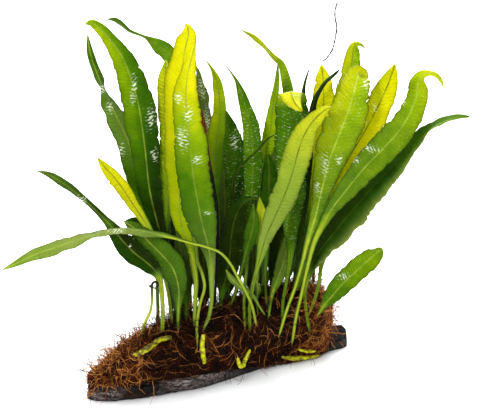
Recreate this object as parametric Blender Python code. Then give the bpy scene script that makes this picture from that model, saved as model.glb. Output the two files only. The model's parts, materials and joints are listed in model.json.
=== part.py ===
"""Java fern growing on a length of driftwood.

The tables are in millimetres. Most of them are read off a front view that looks down
by LOOK_DOWN: across is to the right, up is up the view, and depth is how far a point
lies behind the middle of the wood. seen() turns the three into a place in metres.
"""
import bpy
import bmesh
import math
import numpy as np
from mathutils import Vector, noise
from mathutils.bvhtree import BVHTree

MM = 0.001
LOOK_DOWN = math.radians(20.0)
EYE_DISTANCE = 1400.0
VIEW_CENTRE = (12.35, 106.3)

# Pieces that lie on one another keep this gap, and a little more where a stem is faceted.
CLEARANCE = 0.35
FACET_ROOM = 0.3
SHARP_OVER = math.radians(40.0)

# Fronds: a slim petiole that opens into a blade, thick at the midrib and thin at the margins.
FROND_STATIONS = 15
PETIOLE_WIDTH = 2.2
PETIOLE_THICKNESS = 1.9
BLADE_THICKNESS = 1.0
BLADE_FROM = 1.3 * PETIOLE_WIDTH
BLADE_OPENS_OVER = 6.0
NARROWEST = 0.35
TROUGH = 0.10

# Towards their tips the fronds fan out, to the front and to the back of the wood's centre line.
FAN = 0.9
FAN_FROM = 45.0
FAN_HEIGHT = 180.0

LOOK = Vector((0.0, math.cos(LOOK_DOWN), -math.sin(LOOK_DOWN)))
VIEW_UP = Vector((0.0, math.sin(LOOK_DOWN), math.cos(LOOK_DOWN)))
VIEW_RIGHT = Vector((1.0, 0.0, 0.0))
EYE = VIEW_RIGHT * VIEW_CENTRE[0] + VIEW_UP * VIEW_CENTRE[1] - LOOK * EYE_DISTANCE

for old in list(bpy.data.objects):
    bpy.data.objects.remove(old, do_unlink=True)

fern = bpy.data.collections.new("java_fern_on_driftwood")
bpy.context.scene.collection.children.link(fern)
cutters = bpy.data.collections.new("cutters")
bpy.context.scene.collection.children.link(cutters)


def seen(across, up, depth):
    """The place, in millimetres, that shows at (across, up) in the front view, at this depth."""
    on_plane = VIEW_RIGHT * across + VIEW_UP * up
    ray = on_plane - EYE
    return EYE + ray * ((depth - EYE.y) / ray.y)


def material(name, colour, roughness):
    """A plain finish, its colour given as linear red, green and blue."""
    made = bpy.data.materials.new(name)
    made.use_nodes = True
    shader = made.node_tree.nodes["Principled BSDF"]
    shader.inputs["Base Color"].default_value = (*colour, 1.0)
    shader.inputs["Roughness"].default_value = roughness
    shader.inputs["Metallic"].default_value = 0.0
    return made


def add_object(name, mesh_data, finish, collection=fern):
    """A named object in its collection, with its finish."""
    thing = bpy.data.objects.new(name, mesh_data)
    collection.objects.link(thing)
    if finish is not None:
        mesh_data.materials.append(finish)
    return thing


def loft(name, rings):
    """A closed mesh through rings of equal length, in millimetres, with flat ends."""
    shape = bmesh.new()
    rows = [[shape.verts.new(Vector(point) * MM) for point in ring] for ring in rings]
    around = len(rows[0])
    for low, high in zip(rows, rows[1:]):
        for k in range(around):
            after = (k + 1) % around
            shape.faces.new((low[k], low[after], high[after], high[k]))
    shape.faces.new(rows[0])
    shape.faces.new(rows[-1])
    bmesh.ops.recalc_face_normals(shape, faces=shape.faces)
    bmesh.ops.triangulate(shape, faces=shape.faces)
    made = bpy.data.meshes.new(name)
    shape.to_mesh(made)
    shape.free()
    made.shade_smooth()
    made.set_sharp_from_angle(angle=SHARP_OVER)
    return made


def spaced(values, places):
    """Values spread evenly from 0 to 1, read at the given places."""
    return np.interp(places, np.linspace(0.0, 1.0, len(values)), values)


# Driftwood: a low branch that lies on its flat underside.
# Rows: across, centre depth, half width, height.
WOOD = (
    (-84.0, -37.0, 4.0, 8.0),
    (-79.0, -37.0, 8.5, 11.5),
    (-68.0, -33.0, 13.0, 14.0),
    (-52.0, -25.5, 16.5, 17.0),
    (-34.0, -17.0, 19.0, 19.0),
    (-12.0, -7.0, 19.5, 20.0),
    (8.0, 5.0, 18.0, 19.5),
    (26.0, 17.0, 14.0, 18.0),
    (42.0, 26.5, 10.5, 16.0),
    (56.0, 32.5, 9.0, 14.5),
    (70.0, 39.0, 8.0, 14.0),
    (79.0, 43.5, 7.5, 13.5),
    (82.5, 45.0, 5.0, 11.0),
)
WOOD_STATIONS = 25
WOOD_AROUND = 20
WOOD_RIDGES = 5
WOOD_GRAIN = 0.055
WOOD_LUMPS = 0.10
LUMPS_PER_MM = 0.045
RIDGE_TWIST = 0.02
FLATTENED = 0.72
UNDERSIDE_TUCK = 0.16
FLANK_HEIGHT = 0.12


def column(table, across, k):
    """One column of a table, read at this place across."""
    rows = np.array(table)
    return float(np.interp(across, rows[:, 0], rows[:, k]))


def wood_section(across, swell=0.0):
    """One cross-section of the branch, grown by swell: a low dome on a flat underside."""
    centre, half, height = (column(WOOD, across, k) for k in (1, 2, 3))
    scale = 1.0 + swell / min(half, height)
    ring = []
    for k in range(WOOD_AROUND):
        turn = 2.0 * math.pi * k / WOOD_AROUND
        side = math.cos(turn)
        rise = math.sin(turn)
        lump = noise.noise(Vector((across * LUMPS_PER_MM, side, rise + 4.0)))
        ridge = math.sin(WOOD_RIDGES * turn + across * RIDGE_TWIST)
        grow = 1.0 + WOOD_LUMPS * lump + WOOD_GRAIN * ridge
        out = math.copysign(abs(side) ** FLATTENED, side) * half * grow
        z = height * max(0.0, rise) ** FLATTENED * grow
        if rise < -0.01:
            z = 0.0
            out *= 1.0 - UNDERSIDE_TUCK
        elif rise < 0.01:
            z = FLANK_HEIGHT * height
        ring.append((across, centre + out * scale, z * scale))
    return ring


def build_wood():
    """The branch, ridged along its length, with a knob at its left end."""
    places = np.linspace(WOOD[0][0], WOOD[-1][0], WOOD_STATIONS)
    return loft("driftwood", [wood_section(across) for across in places])


bark = material("waterlogged_driftwood", (0.022, 0.014, 0.010), 0.62)
driftwood = add_object("driftwood", build_wood(), bark)

# Root mat: rows of across, ridge height, depth in front of and behind the wood's centre, lower edge.
MAT = (
    (-84.0, 13.5, 4.0, 4.5, 11.0),
    (-79.0, 17.0, 7.0, 8.0, 11.5),
    (-70.0, 24.5, 12.0, 13.0, 12.0),
    (-58.0, 31.5, 15.5, 18.0, 12.0),
    (-42.0, 37.5, 19.0, 21.5, 12.5),
    (-25.0, 41.0, 21.0, 24.0, 12.5),
    (-5.0, 43.5, 21.0, 25.0, 11.0),
    (15.0, 46.0, 19.2, 25.0, 7.0),
    (32.0, 47.5, 16.3, 23.5, 3.5),
    (48.0, 48.0, 14.8, 21.0, 1.2),
    (60.0, 46.5, 13.8, 17.5, 1.2),
    (67.0, 41.0, 12.2, 14.0, 2.0),
    (71.5, 30.0, 9.0, 10.0, 4.0),
)
MAT_STATIONS = 25
MAT_ARC = 15
MAT_BULGE = 0.62
MAT_LUMPS = 1.6
MAT_LUMPS_PER_MM = 0.08
CHANNEL_SWELL = 0.5
CHANNEL_OVERRUN = 6.0


def mat_section(across):
    """One cross-section of the mat: over the ridge from front to back, and straight below."""
    height, front, back, low = (column(MAT, across, k) for k in (1, 2, 3, 4))
    centre = column(WOOD, across, 1)
    ring = []
    for k in range(MAT_ARC):
        turn = math.pi * k / (MAT_ARC - 1)
        side = -math.cos(turn)
        reach = front if side < 0.0 else back
        y = centre + math.copysign(abs(side) ** MAT_BULGE, side) * reach
        z = low + (height - low) * math.sin(turn) ** MAT_BULGE
        lump = MAT_LUMPS * noise.noise(Vector((across, y, z)) * MAT_LUMPS_PER_MM)
        ring.append((across, y + lump * side, max(low, z + lump * math.sin(turn))))
    return ring


roots = material("felted_roots", (0.075, 0.028, 0.010), 0.9)


def build_mat():
    """The mass of roots, hollowed out below where the branch runs through it."""
    places = np.linspace(MAT[0][0], MAT[-1][0], MAT_STATIONS)
    body = add_object("root_mat", loft("root_mat", [mat_section(across) for across in places]), roots)
    channel_places = np.linspace(WOOD[0][0], WOOD[-1][0], WOOD_STATIONS)
    rings = [wood_section(across, CHANNEL_SWELL) for across in channel_places]
    rings.insert(0, [(x - CHANNEL_OVERRUN, y, z) for x, y, z in rings[0]])
    rings.append([(x + CHANNEL_OVERRUN, y, z) for x, y, z in rings[-1]])
    rings = [[(x, y, z - CHANNEL_SWELL if z == 0.0 else z) for x, y, z in ring] for ring in rings]
    channel = add_object("wood_channel", loft("wood_channel", rings), None, cutters)
    channel.hide_render = True
    channel.display_type = "WIRE"
    cut = body.modifiers.new("wood_channel", "BOOLEAN")
    cut.operation = "DIFFERENCE"
    cut.solver = "EXACT"
    cut.object = channel
    return body


root_mat = build_mat()
bpy.context.view_layer.update()
seen_mat = root_mat.evaluated_get(bpy.context.evaluated_depsgraph_get()).to_mesh()
mat_surface = BVHTree.FromPolygons(
    [vertex.co / MM for vertex in seen_mat.vertices],
    [tuple(face.vertices) for face in seen_mat.polygons],
)


def on_mat(across, up):
    """Where the line of sight through (across, up) meets the front of the mat."""
    target = VIEW_RIGHT * across + VIEW_UP * up
    hit, normal, _, _ = mat_surface.ray_cast(EYE, (target - EYE).normalized())
    if hit is None:
        raise ValueError("nothing of the mat shows at %s, %s" % (across, up))
    return hit, normal


MAT_THICKEST = 25.0
ABOVE_ALL = 300.0


def dropped_on_mat(across, depth):
    """Where something that falls straight down lands on the mat."""
    landed, _, _, _ = mat_surface.ray_cast(Vector((across, depth, ABOVE_ALL)), Vector((0, 0, -1)))
    return landed


def clear_of_mat(point, room):
    """The point, moved out of the mat until it has this much room."""
    near, normal, _, distance = mat_surface.find_nearest(point)
    inside = (point - near).dot(normal) < 0.0 and distance < MAT_THICKEST
    if inside or distance < room:
        return near + normal * room
    return point


CURVE_STEPS = 12


def smooth_path(rows, steps):
    """A curve through the rows, each a point and a width, cut into equal steps of length."""
    rows = np.array(rows, dtype=float)
    before = np.vstack((2 * rows[0] - rows[1], rows, 2 * rows[-1] - rows[-2]))
    fine = []
    for k in range(1, len(before) - 2):
        p0, p1, p2, p3 = before[k - 1 : k + 3]
        for t in np.linspace(0.0, 1.0, CURVE_STEPS, endpoint=False):
            a = 2 * p1
            b = (p2 - p0) * t
            c = (2 * p0 - 5 * p1 + 4 * p2 - p3) * t * t
            d = (3 * p1 - p0 - 3 * p2 + p3) * t * t * t
            fine.append(0.5 * (a + b + c + d))
    fine.append(rows[-1])
    fine = np.array(fine)
    lengths = np.linalg.norm(np.diff(fine[:, :3], axis=0), axis=1)
    along = np.concatenate(([0.0], np.cumsum(lengths)))
    wanted = np.linspace(0.0, along[-1], steps)
    return np.column_stack([np.interp(wanted, along, fine[:, k]) for k in range(fine.shape[1])])


WIDEST_NEAR_MAT = 3.5


def frond_rows(depths, turns, path):
    """The rows of a frond as place, width and turn. A first depth of None means it stands on the mat."""
    places = np.linspace(0.0, 1.0, len(path))
    stands = depths[0] is None
    if stands:
        hit, _ = on_mat(*path[0][:2])
        depths = (hit.y, *depths[1:])
    depth = spaced(depths, places)
    turn = spaced(turns, places)
    ridge = column(WOOD, path[0][0], 1)
    rows = []
    for k, (across, up, width) in enumerate(path):
        rise = max(0.0, up - FAN_FROM) / FAN_HEIGHT
        point = seen(across, up, depth[k] + (depth[k] - ridge) * FAN * rise)
        if k == 0 and not stands:
            point = dropped_on_mat(point.x, point.y) or point
        point = clear_of_mat(point, 0.5 * min(width, WIDEST_NEAR_MAT) + CLEARANCE + FACET_ROOM)
        rows.append((*point, width, turn[k]))
    return rows


def frond_frames(rows, steps, look=LOOK):
    """Along a frond: its centre, the direction across the blade, the way it faces, and its width.
    The blade turns its upper face against the look direction."""
    line = smooth_path(rows, steps)
    frames = []
    across = None
    for k in range(steps):
        ahead = line[min(k + 1, steps - 1), :3] - line[max(k - 1, 0), :3]
        tangent = Vector(ahead).normalized()
        flat = tangent.cross(look)
        if across is not None:
            carried = across - tangent * across.dot(tangent)
            if flat.dot(carried) < 0.0:
                flat = -flat
            flat = flat + carried * 0.5
        across = flat.normalized()
        face = across.cross(tangent).normalized()
        turn = math.radians(line[k, 4])
        side = across * math.cos(turn) + face * math.sin(turn)
        front = side.cross(tangent).normalized()
        frames.append((Vector(line[k, :3]), side, front, max(NARROWEST, line[k, 3])))
    return frames


def build_frond(name, frames, finish):
    """One frond: a slim round petiole that opens into a blade, thick at the midrib and thin at the margins."""
    rings = []
    for centre, side, front, width in frames:
        blade = min(1.0, max(0.0, (width - BLADE_FROM) / BLADE_OPENS_OVER))
        thick = PETIOLE_THICKNESS + (BLADE_THICKNESS - PETIOLE_THICKNESS) * blade
        thick = min(thick, width)
        lift = TROUGH * width * blade
        rings.append((
            centre - side * width / 2 - front * lift,
            centre + front * thick / 2,
            centre + side * width / 2 - front * lift,
            centre - front * thick / 2,
        ))
    return add_object(name, loft(name, rings), finish)


# Each frond: depths from root to tip, turns of the blade in degrees from root to tip,
# and its path from root to tip as across, up and width.
FRONDS = {
    "frond_tall_left": ((-10, -9, -13, -20, -24), (0, 0, 0, 0, 0, 10), (
        (-27, 31, 2.2), (-31, 55, 2.6), (-37, 80, 5), (-42, 97, 9), (-47, 118, 15),
        (-49.5, 140, 17), (-52, 160, 20), (-55, 177, 20), (-60, 193, 16), (-64.5, 204, 14),
        (-71, 213.5, 9.5), (-78, 222, 7), (-84.5, 226.8, 4.5), (-89.5, 226, 0.6))),
    "frond_narrow_left": ((-2, -3, -6, -4), (0, 0, 0, 0, 0, 0, 0, 10, 68, 10, 0, 0), (
        (-28, 35, 2.2), (-33, 58, 3), (-40, 80, 5), (-46, 100, 10), (-52, 118, 14),
        (-57, 135, 15), (-61, 150, 15), (-68, 165, 14), (-75.5, 182, 11), (-81, 194, 5.5),
        (-85.5, 207, 4.5), (-87.5, 220, 0.6))),
    "frond_curled_back": ((8, 12, 15, 17, 14, 10), (0, 0, 0, 0, 0, 0, 20, 60, 30, 0), (
        (-20, 36, 2.2), (-21, 60, 3), (-23, 90, 8), (-24, 120, 13), (-25, 150, 15),
        (-26, 178, 14), (-29, 198, 12), (-35, 207, 10.5), (-41, 211.5, 9.5), (-46, 215.5, 5),
        (-50, 217.8, 2), (-55, 219.8, 1.8), (-60, 221.8, 2.4), (-65.5, 226.5, 3.6),
        (-70, 229.2, 2.8), (-75, 229.2, 0.6))),
    "frond_tall_yellow": ((None, -15, -14, -14, -14), (0, 0), (
        (-18, 30, 2.2), (-17.5, 45, 2.6), (-17, 58, 3.4), (-19, 70, 5), (-22.5, 84, 7.5),
        (-27, 100, 11), (-28, 130, 16), (-28.5, 160, 17), (-28, 185, 17.5), (-25.5, 200, 17),
        (-23.5, 212, 13.5), (-21.8, 219, 10), (-22.5, 224.5, 4), (-24, 226.5, 0.8))),
    "frond_ribbed_left": ((-4, -6, -8, -8, -7), (0, 0, 10, 10, 0), (
        (-26, 33, 2.2), (-30, 50, 2.4), (-36, 75, 3), (-37, 95, 5), (-35, 115, 10),
        (-34, 130, 14), (-33.5, 150, 14), (-34, 165, 13), (-35.5, 180, 12), (-36.5, 192, 9),
        (-36.5, 203, 1))),
    "frond_front_broad": ((None, -24, -28, -30, -30), (0, 0, 0, 0, 0), (
        (-12, 28, 2.2), (-8.5, 36, 2.4), (-6.8, 46, 2.6), (-6.8, 58, 3.4), (-7, 70, 5.5),
        (-9, 82, 10), (-12.5, 95, 17), (-16, 112, 20.5), (-19, 130, 21), (-20.5, 148, 20),
        (-22.5, 165, 17), (-23.5, 180, 14.5), (-22.5, 192, 10.5), (-20, 203, 6), (-17, 214, 0.6))),
    "dead_brown_frond": ((-6, -9, -12, -14), (0, 20, 30, 10), (
        (-5, 42, 1.8), (-4, 60, 1.8), (-3, 85, 2), (-3.5, 105, 2.6), (-6, 122, 3),
        (-9, 138, 3), (-11.5, 152, 4.5), (-13.5, 162, 5.5), (-13.5, 171, 0.6))),
    "frond_edge_on": ((None, -17, -8, 2, 7, 9, 9), (0, 0, 0, 40, 62, 62, 40), (
        (-16.8, 21, 2.0), (-16.2, 32, 2.0), (-14.3, 44, 2.0), (-11.3, 55, 2.0), (-13, 64, 2.2),
        (-16.5, 74, 2.6), (-17, 92, 6), (-14, 115, 10), (-11, 138, 12), (-8.5, 160, 13),
        (-10.5, 175, 12), (-13.5, 187, 8), (-16.5, 199, 0.6))),
    "frond_middle_yellow": ((-2, 0, 0, -2), (0, 0, 15, 15, 0), (
        (0, 43, 2.2), (-1, 65, 2.4), (-2.5, 95, 4), (-4.5, 120, 7), (-5, 135, 11),
        (-3.5, 150, 12), (-1.5, 165, 9.5), (-1.5, 177, 8), (-3, 188, 6), (-6, 196, 2.5),
        (-11, 203.5, 0.4))),
    "frond_middle_dark": ((6, 9, 11, 12), (0, -15, -15, 0), (
        (5, 43, 2.2), (4, 60, 2.4), (5, 85, 4), (7, 108, 8), (8, 122, 12),
        (8, 135, 15), (6.5, 148, 14), (4, 160, 10), (2, 171, 0.8))),
    "frond_speckled": ((None, 3, 5, 2, 0), (0, 0, 0), (
        (13.8, 32, 2.2), (14.4, 46, 2.3), (15.6, 65, 2.6), (17.5, 90, 4), (19, 112, 8),
        (20, 128, 11), (20, 143, 12), (19, 157, 11), (16, 170, 8), (12.5, 181, 5.5),
        (9, 190, 2), (2, 200, 0.4))),
    "frond_arching_yellow": ((24, 26, 30, 34, 30, 24), (0, 0, 0, 0, 0, 0, 75, 20, 0), (
        (28, 52, 2.2), (33, 75, 3), (38, 100, 6), (42, 125, 10), (44, 150, 11),
        (44, 170, 9.5), (43, 182, 7.5), (41, 192, 6), (38.5, 200, 4.5), (33.5, 205, 4),
        (28.5, 210.5, 5), (21.5, 217, 3.6), (16.5, 220.3, 2), (11.5, 222.6, 0.4))),
    "frond_slim_middle": ((14, 17, 18, 18), (0, 0, 15, 30), (
        (26, 50, 2.2), (27, 75, 2.4), (27, 100, 5), (27.2, 125, 8), (27.8, 140, 9),
        (30.5, 150, 9.5), (32, 160, 8.5), (33, 170, 6.5), (34.5, 180, 5), (35.8, 190, 3.5),
        (36.3, 201, 0.5))),
    "frond_folded_tip": ((None, 12, 11, 10, 9, 9, 6, 0, -3), (0, 0), (
        (38, 37, 2.2), (40, 48, 2.4), (42.5, 62, 2.8), (44.5, 76, 4.5), (45, 95, 10),
        (45.5, 115, 17), (45.5, 135, 20), (45.7, 152, 22), (45.5, 168, 21), (45, 177, 19.5),
        (44.8, 182, 17.5), (45.2, 180, 14), (47, 175.5, 9), (49.5, 172, 5), (52.5, 169.5, 0.8))),
    "frond_needle_tip": ((25, 30, 33, 34), (0, 20, 20), (
        (34, 48, 2.2), (40, 75, 3), (46, 110, 7), (50, 145, 9), (52, 170, 5.5),
        (53.3, 185, 2.2), (55.3, 193, 1.3), (57.5, 199, 0.4))),
    "frond_back_yellow": ((30, 36, 42, 44), (0, 0), (
        (42, 52, 2.2), (47, 72, 3), (53, 95, 6), (58, 118, 10), (62, 140, 13),
        (65, 158, 14), (66, 172, 14), (66, 182, 13), (65.5, 192, 9), (64.5, 200, 1))),
    "frond_dark_crossing": ((24, 28, 32, 34), (0, 30, 60, 60), (
        (46, 52, 2.2), (50, 80, 3), (54, 115, 6), (57, 150, 7), (59, 170, 6),
        (62, 180, 5), (67, 188, 4), (72, 192.5, 3), (77, 197, 0.4))),
    "frond_hooked_right": ((30, 28, 28, 30, 30), (0, 0), (
        (48, 46, 2.2), (53, 68, 2.8), (60, 90, 5), (67, 112, 9), (73, 135, 14),
        (77, 155, 17), (80, 172, 17), (82.2, 186, 15), (84, 198, 12), (85, 206, 9.5),
        (85.8, 211, 7), (87.8, 213.3, 3.6), (90.5, 212.8, 2.2), (93, 210.3, 0.6))),
    "frond_broad_right": ((None, 12, 4, -2, -4, -4, 2, 8), (0, 0), (
        (37, 27, 2.2), (42, 40, 2.3), (47.5, 55, 2.6), (52, 70, 3), (55.5, 84, 4.2),
        (61, 102, 7.5), (65, 119, 12), (70, 138, 20), (76.5, 155, 24), (81.5, 168, 23),
        (85, 179, 20.5), (87, 187, 18), (88.5, 192.5, 14), (90.8, 191.5, 9), (93, 186, 1))),
    "frond_veined_yellow": ((24, 18, 13, 12, 12), (0, 0), (
        (49, 47, 2.2), (53, 64, 2.6), (60, 86, 3.2), (67, 106, 5), (73, 121, 8),
        (80, 135, 11), (87, 147, 15), (93, 157, 17), (98.5, 167, 17), (103.5, 177, 15.5),
        (107.5, 186, 13), (110.5, 194, 8), (112.5, 200.5, 0.8))),
    "frond_drooping_tip": ((None, 4, -4, -8, -10, -10), (0, 0, 0, 0, 0, 0), (
        (45, 21, 2.2), (48, 35, 2.3), (51.5, 50, 2.4), (55, 66, 2.6), (59.5, 83, 3.5),
        (65, 95, 5), (72, 107, 8), (81, 118.5, 12), (92, 132, 16), (104, 144.5, 18),
        (114.5, 156, 18), (121.5, 167, 16), (126, 178, 14), (127.3, 187, 12),
        (129.5, 192.7, 6.5), (134.5, 194.3, 3.6), (139.5, 192.8, 3), (142.6, 189, 2.2),
        (143.6, 185, 0.6))),
    "frond_far_right": ((None, 18, 14, 8, 2, 0), (0, 0, 0, 0, 0, 0, 0, 50, 50, 20), (
        (55.5, 29, 2.2), (54.3, 41, 2.3), (54, 54, 3), (57.5, 68, 7), (64.5, 80, 13),
        (73.5, 91.5, 18), (83, 103, 20), (92.5, 114, 20), (101.5, 124, 18), (111, 133.5, 14),
        (119, 142.5, 11), (128, 152, 9), (136, 159, 7.5), (145, 163.5, 6), (153, 166, 4.2),
        (161, 166, 1.2))),
    "frond_low_right": ((None, 16, 6, -2), (0, 0), (
        (62, 38.5, 2.4), (66.5, 43.5, 5), (72, 50, 11), (78, 57, 14), (85, 63.5, 14.5),
        (92, 70, 14), (97, 74.5, 13), (100.3, 77.2, 10.5), (102.5, 79.3, 6.5), (103.6, 80.4, 1.2))),
    "frond_underside_front": ((None, -20, -26, -28, -28, -26), (0, 0, 0, 0, 0, 0), (
        (17, 29, 2.2), (18, 42, 2.4), (20, 56, 2.6), (23, 68, 3.2), (26, 79, 6),
        (29, 89, 9), (33.5, 99, 12.5), (38.5, 110, 15), (43, 121, 16), (46.5, 132, 16.5),
        (49.5, 143, 17), (53, 153, 15), (58, 161.5, 11), (64, 168, 7.5), (69, 171.5, 3),
        (72, 171.5, 0.6))),
    "frond_yellow_left": ((None, -30, -36, -38), (0, 0), (
        (-32, 30, 2.2), (-35, 52, 2.4), (-40, 72, 3), (-46, 90, 4), (-52.5, 101, 5.5),
        (-58.5, 110, 7), (-64, 118.5, 8.5), (-70, 126.5, 8.5), (-76, 133, 6), (-81, 139.5, 0.6))),
    "frond_twisted_left": ((None, -39, -42, -45, -48, -50), (0, 0, 0, 0, 0, 20, 30, 10, 0), (
        (-38.3, 25, 3), (-38.5, 37, 2.8), (-39, 50, 3), (-40.5, 60, 4.2), (-44, 66.5, 8),
        (-50, 72, 12), (-57, 77.5, 14), (-63, 83.5, 13), (-68.5, 90, 9.5), (-72.5, 95.5, 6),
        (-77.5, 101, 4.4), (-83, 106.5, 4), (-89, 112, 4), (-95, 117, 4.8), (-101, 121.5, 5.5),
        (-108, 126, 4.8), (-114, 129, 3), (-120.5, 130.8, 0.5))),
    "frond_long_left": ((None, -25, -34, -41, -47, -51, -54, -57, -60, -62), (0, 0, 0, 15, 50, 70, 72, 35, 0, 0), (
        (21, 32, 2), (19.5, 43, 2), (15, 53, 2), (9.5, 63, 1.9), (5, 71, 1.9),
        (-1, 77.5, 1.8), (-9, 81, 1.8), (-20, 84, 1.8), (-32, 87.5, 2.6), (-42, 90, 7),
        (-52, 92, 10), (-62, 93, 11), (-72, 92.5, 11), (-84, 89.5, 11), (-95, 86, 10),
        (-106, 82, 9.3), (-116, 78.5, 8.5), (-126, 74.5, 6), (-135, 70, 3.5), (-143.5, 66, 0.5))),
    "frond_ribbed_low": ((None, -31, -32, -32), (0, 0, 0), (
        (-28.5, 27, 2.2), (-28.3, 42, 3.6), (-28, 52, 8), (-29.5, 61, 13), (-33, 69, 16.5),
        (-39, 76, 17), (-46, 83, 14.5), (-52.5, 89.5, 11), (-58.5, 94.5, 6.5), (-64, 98.5, 0.8))),
    "frond_small_left": ((None, -18, -21, -22), (0, 0), (
        (-30.5, 33, 2.2), (-30, 50, 2.4), (-33, 70, 3.5), (-38, 84, 5), (-44, 91.5, 7),
        (-51, 95.5, 8), (-58, 97.5, 6), (-64, 97.5, 0.8))),
    "frond_inner_left": ((6, 4, 2, 1), (0, 20, 20), (
        (-32, 32, 2.2), (-33, 42, 3), (-32, 52, 7), (-30, 64, 10), (-28, 80, 12),
        (-27, 100, 12), (-29, 120, 9), (-31, 138, 0.8))),
    "frond_blue_green": ((None, -16, -18, -18), (0, 0), (
        (-23, 32, 2.2), (-23.5, 45, 4), (-24.5, 57, 8), (-25.5, 68, 9.5), (-27, 80, 8),
        (-29.5, 92, 0.8))),
    "frond_olive": ((None, -9, -9, -12, -16), (0, 0, 0), (
        (-3, 38, 2.2), (-0.7, 46, 2.4), (0.5, 54, 6), (3, 63, 11), (5, 75, 15),
        (6, 88, 15), (8.5, 100, 12), (13, 109, 8), (18, 112.5, 4), (23, 112, 0.8))),
    "frond_inner_bright": ((None, -6, -8, -10), (0, 0), (
        (5.5, 41, 2.2), (9.5, 54, 2.2), (13, 68, 3), (16, 80, 6), (18.5, 88, 9),
        (20.5, 97, 8), (20.5, 109, 0.8))),
    "frond_middle_green": ((8, 9, 10, 10), (0, 0), (
        (28, 48, 2.2), (28, 60, 2.4), (29, 85, 5), (30, 105, 9), (30.5, 120, 10.5),
        (30.5, 133, 8), (29.5, 143, 0.8))),
    "frond_young_yellow": ((8, 3, -3, -6), (0, 0), (
        (22.5, 44, 2), (23.5, 70, 3), (24.5, 90, 6), (25.3, 103, 6.5), (24.5, 113.5, 0.6))),
    "frond_narrow_pale": ((None, -9, -14, -17), (0, 0, 0), (
        (26.5, 38, 1.8), (24, 43, 1.8), (20.5, 49, 3), (15, 53.5, 4), (10, 57, 4),
        (6, 61, 4), (2.5, 66.5, 0.6))),
    "frond_tiny": ((2, 1, 0), (0, 0), (
        (22.3, 43, 1.6), (22.5, 46, 1.8), (23, 50, 3), (23.5, 54.5, 3.5), (22, 60, 0.5))),
    "frond_centre_pale": ((None, 15, 17, 18), (0, 0), (
        (29.5, 38, 2.2), (32.5, 50, 3), (36, 60, 7), (39.5, 70, 9), (42, 80, 8),
        (44.5, 90, 6), (46.5, 101, 0.8))),
    "frond_dark_inner": ((22, 21, 21, 22), (0, 10, 10), (
        (32.5, 48, 2.2), (34, 59, 6), (36, 73, 13), (39.5, 88, 15), (44, 102, 15),
        (49, 118, 12), (52, 135, 8), (54, 150, 0.8))),
    "frond_right_hidden": ((None, 28, 26, 24), (0, 0), (
        (56, 39, 2.2), (60.5, 48, 2.4), (63, 58, 2.6), (64.5, 69, 3), (68, 82, 7),
        (74, 96, 12), (82, 110, 15), (92, 124, 14), (101, 137, 9), (107, 146, 0.8))),
    "frond_thin_arching": ((1, 2, -2, -5, -8), (0, 0), (
        (9, 44, 1.6), (9, 75, 1.8), (8, 100, 2.2), (6.5, 120, 2.4), (10, 131, 1.8),
        (16, 137.5, 1.5), (24, 145, 1.3), (29, 151, 1.2), (34.5, 154.5, 0.5))),
}

GREENS = {
    "yellow": (0.42, 0.50, 0.010),
    "bright": (0.21, 0.34, 0.008),
    "mid": (0.10, 0.22, 0.006),
    "dark": (0.026, 0.085, 0.006),
    "pale": (0.26, 0.34, 0.075),
    "brown": (0.090, 0.032, 0.006),
}
TONES = {
    "dead_brown_frond": "brown", "frond_tall_yellow": "yellow", "frond_arching_yellow": "yellow",
    "frond_back_yellow": "yellow", "frond_veined_yellow": "yellow", "frond_yellow_left": "yellow",
    "frond_young_yellow": "yellow", "frond_middle_yellow": "bright", "frond_front_broad": "bright",
    "frond_broad_right": "bright", "frond_hooked_right": "bright", "frond_drooping_tip": "bright",
    "frond_low_right": "bright", "frond_slim_middle": "bright", "frond_underside_front": "pale",
    "frond_narrow_pale": "pale", "frond_centre_pale": "pale", "frond_far_right": "dark",
    "frond_twisted_left": "dark", "frond_olive": "dark", "frond_blue_green": "dark",
    "frond_edge_on": "dark", "frond_middle_dark": "dark", "frond_dark_inner": "dark",
    "frond_dark_crossing": "dark", "frond_needle_tip": "dark", "frond_thin_arching": "dark",
}
leaf_finishes = {tone: material("frond_" + tone, colour, 0.35) for tone, colour in GREENS.items()}

for frond_name, (frond_depths, frond_turns, frond_path) in FRONDS.items():
    tone = TONES.get(frond_name, "mid")
    spine = frond_rows(frond_depths, frond_turns, frond_path)
    build_frond(frond_name, frond_frames(spine, FROND_STATIONS), leaf_finishes[tone])

# Fronds that lean away behind: across and depth of the root, heading in degrees to the right of
# straight back, how far the tip leans out, how high it rises, the width of the blade, and the share
# of the length that is bare stalk.
BACK_FRONDS = {
    "frond_behind_low": (-20.5, 11, -2, 24, 56, 12, 0.3),
    "frond_behind_left": (-41, 0, -8, 52, 122, 18, 0.32),
    "frond_behind_inner": (-27, 10, -10, 46, 84, 16, 0.1),
    "frond_behind_tall": (-11.5, 13, -9, 40, 150, 21, 0),
    "frond_behind_middle": (2, 18, 0, 48, 104, 20, 0),
    "frond_behind_short": (20, 28, 0, 40, 85, 21, 0),
    "frond_behind_right": (35.5, 36, 14, 45, 110, 20, 0),
    "frond_behind_tall_right": (50, 42, 25, 45, 105, 20, 0),
    "frond_behind_far_right": (60, 45, 48, 42, 85, 17, 0.15),
}
BACK_WIDTHS = (2.4, 13, 18, 19.5, 20, 20, 20, 19, 14, 7, 0.8)
BACK_FULL_WIDTH = 20.0
STALK_WIDEST = 3.0
BACK_ROOM = PETIOLE_WIDTH / 2 + CLEARANCE + 2 * FACET_ROOM


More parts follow.
